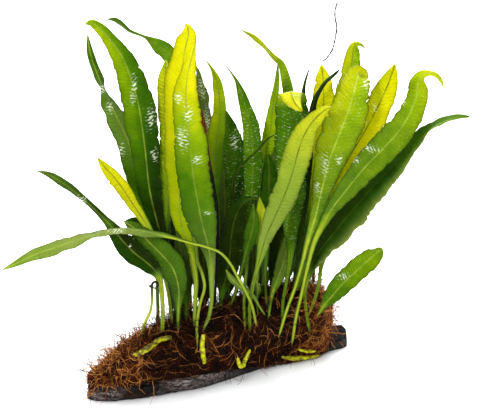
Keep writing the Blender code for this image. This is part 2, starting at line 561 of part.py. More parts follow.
def back_frond_rows(across, depth, heading, reach, height, width, stalk_share):
    """The rows of a frond that rises behind the mat's ridge and leans away."""
    root = dropped_on_mat(across, depth)
    away = Vector((math.sin(math.radians(heading)), math.cos(math.radians(heading)), 0.0))
    rows = []
    for s in np.linspace(0.0, 1.0, len(BACK_WIDTHS)).tolist():
        opened = float(spaced(BACK_WIDTHS, max(0.0, (s - stalk_share) / (1.0 - stalk_share))))
        rise = height * (1.0 - (1.0 - s) ** 1.35)
        point = clear_of_mat(root + away * (reach * s ** 1.7) + Vector((0, 0, rise)), BACK_ROOM)
        scale = 1.0 if opened < STALK_WIDEST else width / BACK_FULL_WIDTH
        rows.append((*point, opened * scale, 0.0))
    return rows, -away


for frond_name, numbers in BACK_FRONDS.items():
    spine, facing = back_frond_rows(*numbers)
    build_frond(frond_name, frond_frames(spine, FROND_STATIONS, facing), leaf_finishes["mid"])


def tube(name, points, radius, finish, swells=None, sides=1, collection=fern):
    """A round stem through points in millimetres, with its radius scaled by swells from end to end."""
    line = bpy.data.curves.new(name, "CURVE")
    line.dimensions = "3D"
    line.bevel_depth = radius * MM
    line.bevel_resolution = sides
    line.use_fill_caps = True
    spline = line.splines.new("POLY")
    spline.points.add(len(points) - 1)
    scales = spaced(swells or (1.0, 1.0), np.linspace(0.0, 1.0, len(points)))
    for knot, point, scale in zip(spline.points, points, scales):
        knot.co = (*(Vector(point) * MM), 1.0)
        knot.radius = scale
    return add_object(name, line, finish, collection)


def on_mat_path(path, radius):
    """Places along the front of the mat for a stem of this radius that lies on it."""
    places = []
    for across, up in path:
        hit, normal = on_mat(across, up)
        places.append(clear_of_mat(hit + normal * radius, radius + CLEARANCE + FACET_ROOM))
    return places


# Rhizomes: radius, swelling from end to end, and the path over the front of the mat.
RHIZOMES = {
    "rhizome_left": (1.7, (0.7, 1.1, 1.0, 0.8), (
        (-58.5, 9.5), (-55, 11), (-50.5, 13.3), (-46, 16), (-41.5, 19), (-37, 20.6), (-32.5, 21.3))),
    "rhizome_stub": (1.5, (0.9, 1.0, 1.1, 0.7), (
        (-13, 24), (-13.6, 20), (-13.6, 15.5), (-13, 10), (-12.4, 6))),
    "rhizome_tip": (1.25, (0.6, 1.2, 1.2, 1.1, 0.5), (
        (9, 10), (9.8, 6.8), (10.8, 4.4), (12.2, 4.8), (13.4, 7.5), (15.2, 11.5), (17, 15.5))),
    "rhizome_right": (1.35, (0.5, 1.0, 1.2, 1.0, 0.8, 0.5), (
        (37.5, 10.6), (42, 10), (45.5, 9.6), (49.4, 9.8), (54, 10), (58.5, 10.6), (62.5, 11.4))),
    "rhizome_upper_right": (1.0, (0.6, 1.0, 1.0, 0.6), (
        (48.8, 15.2), (52.6, 14.4), (56.5, 13.8), (60, 14.3))),
}
BUD = (1.1, (1.0, 0.5), ((45.6, 10.4), (46.6, 12.6), (47.6, 15.2)))

young_green = material("rhizome_yellow_green", (0.36, 0.36, 0.012), 0.45)
olive = material("fiddlehead_olive", (0.12, 0.15, 0.02), 0.5)
dry_root = material("dry_root", (0.10, 0.09, 0.05), 0.8)
for rhizome_name, (radius, swells, path) in RHIZOMES.items():
    tube(rhizome_name, on_mat_path(path, radius), radius, young_green, swells)


def as_mesh(curve_object):
    """The same object as a mesh with its caps welded on."""
    bpy.context.view_layer.update()
    whole = curve_object.evaluated_get(bpy.context.evaluated_depsgraph_get())
    made = bpy.data.meshes.new_from_object(whole)
    shape = bmesh.new()
    shape.from_mesh(made)
    bmesh.ops.remove_doubles(shape, verts=shape.verts, dist=0.01 * MM)
    shape.to_mesh(made)
    shape.free()
    copy = bpy.data.objects.new(curve_object.name, made)
    copy.matrix_world = curve_object.matrix_world
    name = curve_object.name
    for home in curve_object.users_collection:
        home.objects.link(copy)
    bpy.data.objects.remove(curve_object, do_unlink=True)
    copy.name = name
    return copy


bud = as_mesh(tube("rhizome_bud", on_mat_path(BUD[2], BUD[0]), BUD[0], None, BUD[1], 1, cutters))
bud.hide_render = True
bud.display_type = "WIRE"
stem = as_mesh(bpy.data.objects["rhizome_right"])
grown = stem.modifiers.new("bud", "BOOLEAN")
grown.operation = "UNION"
grown.solver = "EXACT"
grown.object = bud

# Fiddleheads: young fronds that are still rolled up.
STEM_RADIUS = 0.85
CURL_CENTRE = (-43.2, 56.6)
CURL_START = 2.3
CURL_END = 1.3
CURL_TURN = math.radians(300.0)
CURL_STEPS = 11
FIDDLEHEAD_DEPTH = -43.0
FIDDLEHEAD_STEM = ((-52.4, 24.3), (-51, 29), (-49.2, 34), (-46.6, 39.5), (-45.6, 46), (-45.6, 52))
SMALL_FIDDLEHEAD = ((-41.6, 53.2), (-44, 54.6), (-46, 55.4), (-47.5, 56.2))


def curl(start_angle):
    """The rolled tip, from the stem inwards."""
    for k in range(CURL_STEPS):
        share = k / (CURL_STEPS - 1)
        radius = CURL_START + (CURL_END - CURL_START) * share
        angle = start_angle - CURL_TURN * share
        yield CURL_CENTRE[0] + radius * math.cos(angle), CURL_CENTRE[1] + radius * math.sin(angle)


foot, foot_normal = on_mat(*FIDDLEHEAD_STEM[0])
foot = foot + foot_normal * (1.3 * STEM_RADIUS + CLEARANCE)
stem_depths = np.linspace(foot.y, FIDDLEHEAD_DEPTH, len(FIDDLEHEAD_STEM))
stem_points = [seen(*place, depth) for place, depth in zip(FIDDLEHEAD_STEM, stem_depths)]
stem_points[0] = foot
curl_points = [seen(*place, FIDDLEHEAD_DEPTH) for place in curl(math.radians(190.0))]
tube("fiddlehead", stem_points + curl_points, STEM_RADIUS, olive, (1.3, 1.1, 1.0, 0.9, 0.8, 0.6))
small_points = [seen(*place, FIDDLEHEAD_DEPTH + 2.0) for place in SMALL_FIDDLEHEAD]
tube("fiddlehead_small", small_points, 0.6, olive, (0.8, 0.8, 1.2, 2.2))

# A dried root that stands up from the tip of a leaf at the back.
FILAMENT_DEPTH = 44.0
FILAMENT = ((65.2, 201.6), (67.5, 203.5), (70, 206.5), (72, 210.5), (73.6, 217), (74.6, 224),
            (73.6, 230), (73.6, 235), (75, 240.5))
tube("dried_root", [seen(*place, FILAMENT_DEPTH) for place in FILAMENT], 0.35, dry_root, (1, 1), 0)
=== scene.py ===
# %% [markdown]
# # A java fern on driftwood
# Java fern is a water plant. It doesn't root in the ground: a creeping stem, the rhizome, lies on
# wood or stone and holds on with a felt of brown roots. From the rhizome rise long ribbon fronds,
# each on a thin stalk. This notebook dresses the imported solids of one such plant: every solid stays
# in its place, and a finer skin of the same piece stands for it.

import bpy
import bmesh
import json
import math
import numpy as np
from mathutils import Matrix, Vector, noise
from mathutils.bvhtree import BVHTree


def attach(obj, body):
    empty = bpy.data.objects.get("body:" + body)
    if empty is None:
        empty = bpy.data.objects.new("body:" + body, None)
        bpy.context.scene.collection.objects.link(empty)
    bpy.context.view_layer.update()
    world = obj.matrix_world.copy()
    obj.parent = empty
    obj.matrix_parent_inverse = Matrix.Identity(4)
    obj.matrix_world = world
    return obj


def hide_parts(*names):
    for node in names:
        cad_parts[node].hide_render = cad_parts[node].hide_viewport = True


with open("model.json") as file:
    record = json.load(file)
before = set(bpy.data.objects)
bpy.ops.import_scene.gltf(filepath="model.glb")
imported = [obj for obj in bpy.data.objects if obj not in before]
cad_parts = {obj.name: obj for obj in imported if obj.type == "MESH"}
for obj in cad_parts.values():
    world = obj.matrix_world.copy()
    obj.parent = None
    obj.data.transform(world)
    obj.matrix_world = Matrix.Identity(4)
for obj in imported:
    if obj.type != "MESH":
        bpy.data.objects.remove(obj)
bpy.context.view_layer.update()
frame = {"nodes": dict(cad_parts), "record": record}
MM = 0.001
print("pieces in the frame:", len(frame["nodes"]))

# %% [markdown]
# ## The photograph's view
# The tables below give places as they are seen from the front, looking down a little: how far to
# the right, how far up the view, and how deep. A camera could be placed by eye, but then nothing
# in the tables would land where it was read. So the camera stands at the very eye that the
# tables use.

# %% The eye and the camera
LOOK_DOWN = math.radians(20.0)
EYE_DISTANCE = 1400.0
VIEW_CENTRE = (12.35, 106.3)
FRAME_WIDTH = 313.3
SENSOR_WIDTH = 36.0
LOOK = Vector((0.0, math.cos(LOOK_DOWN), -math.sin(LOOK_DOWN)))
VIEW_UP = Vector((0.0, math.sin(LOOK_DOWN), math.cos(LOOK_DOWN)))
VIEW_RIGHT = Vector((1.0, 0.0, 0.0))
EYE = VIEW_RIGHT * VIEW_CENTRE[0] + VIEW_UP * VIEW_CENTRE[1] - LOOK * EYE_DISTANCE


def seen(across, up, depth):
    """The place, in millimetres, that shows at (across, up) in the front view, at this depth."""
    on_plane = VIEW_RIGHT * across + VIEW_UP * up
    ray = on_plane - EYE
    return EYE + ray * ((depth - EYE.y) / ray.y)


def placed(name, data):
    """An object that puts this camera, light, curve or mesh in the scene."""
    thing = bpy.data.objects.new(name, data)
    bpy.context.scene.collection.objects.link(thing)
    return thing


lens = bpy.data.cameras.new("photograph_camera")
lens.sensor_width = SENSOR_WIDTH
lens.lens = SENSOR_WIDTH * EYE_DISTANCE / FRAME_WIDTH
camera = placed("photograph_camera", lens)
camera.location = EYE * MM
camera.rotation_euler = (math.radians(90.0) - LOOK_DOWN, 0.0, 0.0)
bpy.context.scene.camera = camera
print("focal length %.1f mm, from %.2f m away" % (lens.lens, EYE_DISTANCE * MM))

# %% [markdown]
# ## Studio
# The photograph has a white sweep and a broad light above and behind the plant. The light from
# behind is what makes young fronds glow yellow, because it comes to the eye through them. A second
# soft light in front, high on the left, draws the wet highlights, and the blades also carry painted
# highlights of water.

# %% Colours and nodes
def linear(colour):
    """An sRGB hex colour as linear red, green, blue and alpha."""
    parts = [int(colour[k : k + 2], 16) / 255.0 for k in (1, 3, 5)]
    return (*((c / 12.92 if c <= 0.04045 else ((c + 0.055) / 1.055) ** 2.4) for c in parts), 1.0)


def add_node(tree, kind, inputs=None, out=0, stops=(), **settings):
    """A node with its settings, inputs and colour stops; gives back the output with this name or number."""
    node = tree.nodes.new("ShaderNode" + kind)
    for key, value in settings.items():
        setattr(node, key, value)
    for key, value in (inputs or {}).items():
        if isinstance(value, bpy.types.NodeSocket):
            tree.links.new(value, node.inputs[key])
        else:
            node.inputs[key].default_value = value
    for k, (place, colour) in enumerate(stops):
        ramp = node.color_ramp.elements
        stop = ramp[k] if k < len(ramp) else ramp.new(place)
        stop.position = place
        stop.color = linear(colour)
    return node.outputs[out] if node.outputs else node


def new_material(name):
    """An empty node material and its tree."""
    made = bpy.data.materials.new(name)
    made.use_nodes = True
    made.node_tree.nodes.clear()
    return made, made.node_tree


def finish_surface(tree, inputs, relief=None):
    """A material's last nodes: its shader, on a bump of (height, strength, distance) if it has one."""
    if relief:
        bump = dict(zip(("Height", "Strength", "Distance"), relief))
        inputs = {**inputs, "Normal": add_node(tree, "Bump", bump)}
    shade = add_node(tree, "BsdfPrincipled", inputs)
    add_node(tree, "OutputMaterial", {"Surface": shade})


# Matt white card: nothing but a soft white.
card, tree = new_material("white_card")
finish_surface(tree, {"Base Color": linear("#f6f7f9"), "Roughness": 0.9})
print("card nodes:", len(tree.nodes))

# %% Light and floor
PLANT_MIDDLE = Vector((0.0, 0.0, 0.10))
AMBIENT = 0.35
FLOOR_HALF = 3.0


def softbox(name, place, size, watts):
    """A square area light that faces the plant's middle."""
    data = bpy.data.lights.new(name, "AREA")
    data.shape = "SQUARE"
    data.size = size
    data.energy = watts
    lamp = placed(name, data)
    lamp.location = place
    lamp.rotation_euler = (PLANT_MIDDLE - Vector(place)).to_track_quat("-Z", "Y").to_euler()


def finished(name, shape, finish):
    """The bmesh as a smooth object of this finish."""
    mesh = bpy.data.meshes.new(name)
    shape.to_mesh(mesh)
    shape.free()
    mesh.shade_smooth()
    mesh.materials.append(finish)
    return placed(name, mesh)


softbox("light_behind", (0.15, 0.80, 0.85), 0.8, 26.0)
softbox("light_above", (-0.1, 0.0, 1.1), 0.5, 13.0)
softbox("light_front_left", (-0.30, -1.05, 0.60), 0.14, 11.0)

world = bpy.data.worlds.new("white_studio")
bpy.context.scene.world = world
world.use_nodes = True
background = world.node_tree.nodes["Background"]
background.inputs["Color"].default_value = linear("#ffffff")
background.inputs["Strength"].default_value = AMBIENT
bpy.context.scene.view_settings.view_transform = "Standard"

sweep = bmesh.new()
bmesh.ops.create_grid(sweep, x_segments=1, y_segments=1, size=FLOOR_HALF)
floor = finished("studio_floor", sweep, card)
print("floor", 2 * FLOOR_HALF, "m square")

# %% [markdown]
# ## Surfaces to lie on
# Rhizomes, stalks and roots all lie on the felt or the wood. A BVH tree is a quick way to ask where
# the nearest point of a solid is, or what a line of sight meets, so each of them is settled by
# asking rather than by hand.

# %% Ask the solids
def surface_of(*names):
    """A search tree over CAD nodes, in millimetres."""
    places, faces = [], []
    for name in names:
        mesh = frame["nodes"][name].data
        first = len(places)
        places += [vertex.co / MM for vertex in mesh.vertices]
        faces += [tuple(first + k for k in face.vertices) for face in mesh.polygons]
    return BVHTree.FromPolygons(places, faces)


mat_surface = surface_of("root_mat")
ground = surface_of("root_mat", "driftwood")
MAT_THICKEST = 25.0
ABOVE_ALL = 300.0


def on_mat(across, up, surface=mat_surface):
    """Where the line of sight through (across, up) meets the mat's front, and which way that faces."""
    target = VIEW_RIGHT * across + VIEW_UP * up
    hit, normal, _, _ = surface.ray_cast(EYE, (target - EYE).normalized())
    return hit, normal


def dropped_on_mat(across, depth):
    """Where something that falls straight down lands on the mat."""
    landed, _, _, _ = mat_surface.ray_cast(Vector((across, depth, ABOVE_ALL)), Vector((0, 0, -1)))
    return landed


def clear_of_mat(point, room):
    """The point, moved out of the mat until it has this much room."""
    near, normal, _, distance = mat_surface.find_nearest(point)
    inside = (point - near).dot(normal) < 0.0 and distance < MAT_THICKEST
    return near + normal * room if inside or distance < room else point


# %% [markdown]
# ## Skins from a rolled grid
# A frond, a branch and a root are all long things with a closed outline. Each could be a curve with
# a bevel, but a curve's section can't change from a round stalk to a flat blade. So one flat grid
# is rolled: its rows become the outlines, its long edges meet and are merged, and its two ends
# close on a point.

# %% Roll a grid into a skin
MERGED_WITHIN = 1e-7


def rolled(name, rings, finish, marks=None):
    """A closed skin through outlines in millimetres, (rows, around, 3), with marks as attributes."""
    rows, around = rings.shape[:2]
    shape = bmesh.new()
    bmesh.ops.create_grid(shape, x_segments=around, y_segments=rows - 1, size=0.5)
    wrapped = np.concatenate((rings, rings[:, :1]), axis=1).reshape(-1, 3) * MM
    layers = {key: shape.verts.layers.float.new(key) for key in (marks or {})}
    for vertex, place in zip(shape.verts, wrapped.tolist()):
        vertex.co = place
    for key, layer in layers.items():
        values = np.concatenate((marks[key], marks[key][:, :1]), axis=1).ravel().tolist()
        for vertex, value in zip(shape.verts, values):
            vertex[layer] = value
    bmesh.ops.remove_doubles(shape, verts=shape.verts, dist=MERGED_WITHIN)
    bmesh.ops.recalc_face_normals(shape, faces=shape.faces)
    return finished(name, shape, finish)


def closed_ends(rings):
    """The outlines with the first and the last drawn together on their middles."""
    rings[0] = rings[0].mean(axis=0)
    rings[-1] = rings[-1].mean(axis=0)
    return rings


def dress(piece, slot, *nodes):
    """The piece rides on the one body and stands for its solids; the slot is not used."""
    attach(piece, "root")
    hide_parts(*nodes)
    return piece


def smooth_noise(places, seed):
    """Gentle noise from -1 to 1 at each place along a line; another seed gives another line of it."""
    return np.array([noise.noise(Vector((p, seed, 0.5 * seed))) for p in places])


print("one line of noise:", smooth_noise((0.5, 1.5, 2.5), 1.0).round(2))

# %% [markdown]
# ## Frond paths
# Each frond was read off the photograph as a few points from root to tip: across, up and width in
# millimetres. Depths and turns spread evenly along it. A smooth curve through the points gives the
# midrib, and the blade faces the viewer except where the table turns it.

# %% Tables of the fronds
# Depths from root to tip (None stands on the mat's front), turns in degrees, and the path.
FRONDS = {
    "frond_tall_left": ((-10, -9, -13, -20, -24), (0, 0, 0, 0, 0, 10), (
        (-27, 31, 2.2), (-31, 55, 2.6), (-37, 80, 5), (-42, 97, 9), (-47, 118, 15),
        (-49.5, 140, 17), (-52, 160, 20), (-55, 177, 20), (-60, 193, 16), (-64.5, 204, 14),
        (-71, 213.5, 9.5), (-78, 222, 7), (-84.5, 226.8, 4.5), (-89.5, 226, 0.6))),
    "frond_narrow_left": ((-2, -3, -6, -4), (0, 0, 0, 0, 0, 0, 0, 10, 68, 10, 0, 0), (
        (-28, 35, 2.2), (-33, 58, 3), (-40, 80, 5), (-46, 100, 10), (-52, 118, 14),
        (-57, 135, 15), (-61, 150, 15), (-68, 165, 14), (-75.5, 182, 11), (-81, 194, 5.5),
        (-85.5, 207, 4.5), (-87.5, 220, 0.6))),
    "frond_curled_back": ((8, 12, 15, 17, 14, 10), (0, 0, 0, 0, 0, 0, 20, 60, 30, 0), (
        (-20, 36, 2.2), (-21, 60, 3), (-23, 90, 8), (-24, 120, 13), (-25, 150, 15),
        (-26, 178, 14), (-29, 198, 12), (-35, 207, 10.5), (-41, 211.5, 9.5), (-46, 215.5, 5),
        (-50, 217.8, 2), (-55, 219.8, 1.8), (-60, 221.8, 2.4), (-65.5, 226.5, 3.6),
        (-70, 229.2, 2.8), (-75, 229.2, 0.6))),
    "frond_tall_yellow": ((None, -15, -14, -14, -14), (0, 0), (
        (-18, 30, 2.2), (-17.5, 45, 2.6), (-17, 58, 3.4), (-19, 70, 5), (-22.5, 84, 7.5),
        (-27, 100, 11), (-28, 130, 16), (-28.5, 160, 17), (-28, 185, 17.5), (-25.5, 200, 17),
        (-23.5, 212, 13.5), (-21.8, 219, 10), (-22.5, 224.5, 4), (-24, 226.5, 0.8))),
    "frond_ribbed_left": ((-4, -6, -8, -8, -7), (0, 0, 10, 10, 0), (
        (-26, 33, 2.2), (-30, 50, 2.4), (-36, 75, 3), (-37, 95, 5), (-35, 115, 10),
        (-34, 130, 14), (-33.5, 150, 14), (-34, 165, 13), (-35.5, 180, 12), (-36.5, 192, 9),
        (-36.5, 203, 1))),
    "frond_front_broad": ((None, -24, -28, -30, -30), (0, 0), (
        (-12, 28, 2.2), (-8.5, 36, 2.4), (-6.8, 46, 2.6), (-6.8, 58, 3.4), (-7, 70, 5.5),
        (-9, 82, 10), (-12.5, 95, 17), (-16, 112, 20.5), (-19, 130, 21), (-20.5, 148, 20),
        (-22.5, 165, 17), (-23.5, 180, 14.5), (-22.5, 192, 10.5), (-20, 203, 6), (-17, 214, 0.6))),
    "dead_brown_frond": ((-6, -9, -12, -14), (0, 20, 30, 10), (
        (-5, 42, 1.8), (-4, 60, 1.8), (-3, 85, 2), (-3.5, 105, 2.6), (-6, 122, 3),
        (-9, 138, 3), (-11.5, 152, 4.5), (-13.5, 162, 5.5), (-13.5, 171, 0.6))),
    "frond_edge_on": ((None, -17, -8, 2, 7, 9, 9), (0, 0, 0, 40, 62, 62, 40), (
        (-16.8, 21, 2.0), (-16.2, 32, 2.0), (-14.3, 44, 2.0), (-11.3, 55, 2.0), (-13, 64, 2.2),
        (-16.5, 74, 2.6), (-17, 92, 6), (-14, 115, 10), (-11, 138, 12), (-8.5, 160, 13),
        (-10.5, 175, 12), (-13.5, 187, 8), (-16.5, 199, 0.6))),
    "frond_middle_yellow": ((-2, 0, 0, -2), (0, 0, 15, 15, 0), (
        (0, 43, 2.2), (-1, 65, 2.4), (-2.5, 95, 4), (-4.5, 120, 7), (-5, 135, 11),
        (-3.5, 150, 12), (-1.5, 165, 9.5), (-1.5, 177, 8), (-3, 188, 6), (-6, 196, 2.5),
        (-11, 203.5, 0.4))),
    "frond_middle_dark": ((6, 9, 11, 12), (0, -15, -15, 0), (
        (5, 43, 2.2), (4, 60, 2.4), (5, 85, 4), (7, 108, 8), (8, 122, 12),
        (8, 135, 15), (6.5, 148, 14), (4, 160, 10), (2, 171, 0.8))),
    "frond_speckled": ((None, 3, 5, 2, 0), (0, 0), (
        (13.8, 32, 2.2), (14.4, 46, 2.3), (15.6, 65, 2.6), (17.5, 90, 4), (19, 112, 8),
        (20, 128, 11), (20, 143, 12), (19, 157, 11), (16, 170, 8), (12.5, 181, 5.5),
        (9, 190, 2), (2, 200, 0.4))),
    "frond_arching_yellow": ((24, 26, 30, 34, 30, 24), (0, 0, 0, 0, 0, 0, 75, 20, 0), (
        (28, 52, 2.2), (33, 75, 3), (38, 100, 6), (42, 125, 10), (44, 150, 11),
        (44, 170, 9.5), (43, 182, 7.5), (41, 192, 6), (38.5, 200, 4.5), (33.5, 205, 4),
        (28.5, 210.5, 5), (21.5, 217, 3.6), (16.5, 220.3, 2), (11.5, 222.6, 0.4))),
    "frond_slim_middle": ((14, 17, 18, 18), (0, 0, 15, 30), (
        (26, 50, 2.2), (27, 75, 2.4), (27, 100, 5), (27.2, 125, 8), (27.8, 140, 9),
        (30.5, 150, 9.5), (32, 160, 8.5), (33, 170, 6.5), (34.5, 180, 5), (35.8, 190, 3.5),
        (36.3, 201, 0.5))),
    "frond_folded_tip": ((None, 12, 11, 10, 9, 9, 6, 0, -3), (0, 0), (
        (38, 37, 2.2), (40, 48, 2.4), (42.5, 62, 2.8), (44.5, 76, 4.5), (45, 95, 10),
        (45.5, 115, 17), (45.5, 135, 20), (45.7, 152, 22), (45.5, 168, 21), (45, 177, 19.5),
        (44.8, 182, 17.5), (45.2, 180, 14), (47, 175.5, 9), (49.5, 172, 5), (52.5, 169.5, 0.8))),
    "frond_needle_tip": ((25, 30, 33, 34), (0, 20, 20), (
        (34, 48, 2.2), (40, 75, 3), (46, 110, 7), (50, 145, 9), (52, 170, 5.5),
        (53.3, 185, 2.2), (55.3, 193, 1.3), (57.5, 199, 0.4))),
    "frond_back_yellow": ((30, 36, 42, 44), (0, 0), (
        (42, 52, 2.2), (47, 72, 3), (53, 95, 6), (58, 118, 10), (62, 140, 13),
        (65, 158, 14), (66, 172, 14), (66, 182, 13), (65.5, 192, 9), (64.5, 200, 1))),
    "frond_dark_crossing": ((24, 28, 32, 34), (0, 30, 60, 60), (
        (46, 52, 2.2), (50, 80, 3), (54, 115, 6), (57, 150, 7), (59, 170, 6),
        (62, 180, 5), (67, 188, 4), (72, 192.5, 3), (77, 197, 0.4))),
    "frond_hooked_right": ((30, 28, 28, 30, 30), (0, 0), (
        (48, 46, 2.2), (53, 68, 2.8), (60, 90, 5), (67, 112, 9), (73, 135, 14),
        (77, 155, 17), (80, 172, 17), (82.2, 186, 15), (84, 198, 12), (85, 206, 9.5),
        (85.8, 211, 7), (87.8, 213.3, 3.6), (90.5, 212.8, 2.2), (93, 210.3, 0.6))),
    "frond_broad_right": ((None, 12, 4, -2, -4, -4, 2, 8), (0, 0), (
        (37, 27, 2.2), (42, 40, 2.3), (47.5, 55, 2.6), (52, 70, 3), (55.5, 84, 4.2),
        (61, 102, 7.5), (65, 119, 12), (70, 138, 20), (76.5, 155, 24), (81.5, 168, 23),
        (85, 179, 20.5), (87, 187, 18), (88.5, 192.5, 14), (90.8, 191.5, 9), (93, 186, 1))),
    "frond_veined_yellow": ((24, 18, 13, 12, 12), (0, 0), (
        (49, 47, 2.2), (53, 64, 2.6), (60, 86, 3.2), (67, 106, 5), (73, 121, 8),
        (80, 135, 11), (87, 147, 15), (93, 157, 17), (98.5, 167, 17), (103.5, 177, 15.5),
        (107.5, 186, 13), (110.5, 194, 8), (112.5, 200.5, 0.8))),
    "frond_drooping_tip": ((None, 4, -4, -8, -10, -10), (0, 0), (
        (45, 21, 2.2), (48, 35, 2.3), (51.5, 50, 2.4), (55, 66, 2.6), (59.5, 83, 3.5),
        (65, 95, 5), (72, 107, 8), (81, 118.5, 12), (92, 132, 16), (104, 144.5, 18),
        (114.5, 156, 18), (121.5, 167, 16), (126, 178, 14), (127.3, 187, 12),
        (129.5, 192.7, 6.5), (134.5, 194.3, 3.6), (139.5, 192.8, 3), (142.6, 189, 2.2),
        (143.6, 185, 0.6))),
    "frond_far_right": ((None, 18, 14, 8, 2, 0), (0, 0, 0, 0, 0, 0, 0, 50, 50, 20), (
        (55.5, 29, 2.2), (54.3, 41, 2.3), (54, 54, 3), (57.5, 68, 7), (64.5, 80, 13),
        (73.5, 91.5, 18), (83, 103, 20), (92.5, 114, 20), (101.5, 124, 18), (111, 133.5, 14),
        (119, 142.5, 11), (128, 152, 9), (136, 159, 7.5), (145, 163.5, 6), (153, 166, 4.2),
        (161, 166, 1.2))),
    "frond_low_right": ((None, 16, 6, -2), (0, 0), (
        (62, 38.5, 2.4), (66.5, 43.5, 5), (72, 50, 11), (78, 57, 14), (85, 63.5, 14.5),
        (92, 70, 14), (97, 74.5, 13), (100.3, 77.2, 10.5), (102.5, 79.3, 6.5), (103.6, 80.4, 1.2))),
    "frond_underside_front": ((None, -20, -26, -28, -28, -26), (0, 0), (
        (17, 29, 2.2), (18, 42, 2.4), (20, 56, 2.6), (23, 68, 3.2), (26, 79, 6),
        (29, 89, 9), (33.5, 99, 12.5), (38.5, 110, 15), (43, 121, 16), (46.5, 132, 16.5),
        (49.5, 143, 17), (53, 153, 15), (58, 161.5, 11), (64, 168, 7.5), (69, 171.5, 3),
        (72, 171.5, 0.6))),
    "frond_yellow_left": ((None, -30, -36, -38), (0, 0), (
        (-32, 30, 2.2), (-35, 52, 2.4), (-40, 72, 3), (-46, 90, 4), (-52.5, 101, 5.5),
        (-58.5, 110, 7), (-64, 118.5, 8.5), (-70, 126.5, 8.5), (-76, 133, 6), (-81, 139.5, 0.6))),
    "frond_twisted_left": ((None, -39, -42, -45, -48, -50), (0, 0, 0, 0, 0, 20, 30, 10, 0), (
        (-38.3, 25, 3), (-38.5, 37, 2.8), (-39, 50, 3), (-40.5, 60, 4.2), (-44, 66.5, 8),
        (-50, 72, 12), (-57, 77.5, 14), (-63, 83.5, 13), (-68.5, 90, 9.5), (-72.5, 95.5, 6),
        (-77.5, 101, 4.4), (-83, 106.5, 4), (-89, 112, 4), (-95, 117, 4.8), (-101, 121.5, 5.5),
        (-108, 126, 4.8), (-114, 129, 3), (-120.5, 130.8, 0.5))),
    "frond_long_left": ((None, -25, -34, -41, -47, -51, -54, -57, -60, -62),
                        (0, 0, 0, 15, 50, 70, 72, 35, 0, 0), (
        (21, 32, 2), (19.5, 43, 2), (15, 53, 2), (9.5, 63, 1.9), (5, 71, 1.9),
        (-1, 77.5, 1.8), (-9, 81, 1.8), (-20, 84, 1.8), (-32, 87.5, 2.6), (-42, 90, 7),
        (-52, 92, 10), (-62, 93, 11), (-72, 92.5, 11), (-84, 89.5, 11), (-95, 86, 10),
        (-106, 82, 9.3), (-116, 78.5, 8.5), (-126, 74.5, 6), (-135, 70, 3.5), (-143.5, 66, 0.5))),
    "frond_ribbed_low": ((None, -31, -32, -32), (0, 0), (
        (-28.5, 27, 2.2), (-28.3, 42, 3.6), (-28, 52, 8), (-29.5, 61, 13), (-33, 69, 16.5),
        (-39, 76, 17), (-46, 83, 14.5), (-52.5, 89.5, 11), (-58.5, 94.5, 6.5), (-64, 98.5, 0.8))),
    "frond_small_left": ((None, -18, -21, -22), (0, 0), (
        (-30.5, 33, 2.2), (-30, 50, 2.4), (-33, 70, 3.5), (-38, 84, 5), (-44, 91.5, 7),
        (-51, 95.5, 8), (-58, 97.5, 6), (-64, 97.5, 0.8))),
    "frond_inner_left": ((6, 4, 2, 1), (0, 20, 20), (
        (-32, 32, 2.2), (-33, 42, 3), (-32, 52, 7), (-30, 64, 10), (-28, 80, 12),
        (-27, 100, 12), (-29, 120, 9), (-31, 138, 0.8))),
    "frond_blue_green": ((None, -16, -18, -18), (0, 0), (
        (-23, 32, 2.2), (-23.5, 45, 4), (-24.5, 57, 8), (-25.5, 68, 9.5), (-27, 80, 8),
        (-29.5, 92, 0.8))),
    "frond_olive": ((None, -9, -9, -12, -16), (0, 0), (
        (-3, 38, 2.2), (-0.7, 46, 2.4), (0.5, 54, 6), (3, 63, 11), (5, 75, 15),
        (6, 88, 15), (8.5, 100, 12), (13, 109, 8), (18, 112.5, 4), (23, 112, 0.8))),
    "frond_inner_bright": ((None, -6, -8, -10), (0, 0), (
        (5.5, 41, 2.2), (9.5, 54, 2.2), (13, 68, 3), (16, 80, 6), (18.5, 88, 9),
        (20.5, 97, 8), (20.5, 109, 0.8))),
    "frond_middle_green": ((8, 9, 10, 10), (0, 0), (
        (28, 48, 2.2), (28, 60, 2.4), (29, 85, 5), (30, 105, 9), (30.5, 120, 10.5),
        (30.5, 133, 8), (29.5, 143, 0.8))),
    "frond_young_yellow": ((8, 3, -3, -6), (0, 0), (
        (22.5, 44, 2), (23.5, 70, 3), (24.5, 90, 6), (25.3, 103, 6.5), (24.5, 113.5, 0.6))),
    "frond_narrow_pale": ((None, -9, -14, -17), (0, 0), (
        (26.5, 38, 1.8), (24, 43, 1.8), (20.5, 49, 3), (15, 53.5, 4), (10, 57, 4),
        (6, 61, 4), (2.5, 66.5, 0.6))),
    "frond_tiny": ((2, 1, 0), (0, 0), (
        (22.3, 43, 1.6), (22.5, 46, 1.8), (23, 50, 3), (23.5, 54.5, 3.5), (22, 60, 0.5))),
    "frond_centre_pale": ((None, 15, 17, 18), (0, 0), (
        (29.5, 38, 2.2), (32.5, 50, 3), (36, 60, 7), (39.5, 70, 9), (42, 80, 8),
        (44.5, 90, 6), (46.5, 101, 0.8))),
    "frond_dark_inner": ((22, 21, 21, 22), (0, 10, 10), (
        (32.5, 48, 2.2), (34, 59, 6), (36, 73, 13), (39.5, 88, 15), (44, 102, 15),
        (49, 118, 12), (52, 135, 8), (54, 150, 0.8))),
    "frond_right_hidden": ((None, 28, 26, 24), (0, 0), (
        (56, 39, 2.2), (60.5, 48, 2.4), (63, 58, 2.6), (64.5, 69, 3), (68, 82, 7),
        (74, 96, 12), (82, 110, 15), (92, 124, 14), (101, 137, 9), (107, 146, 0.8))),
    "frond_thin_arching": ((1, 2, -2, -5, -8), (0, 0), (
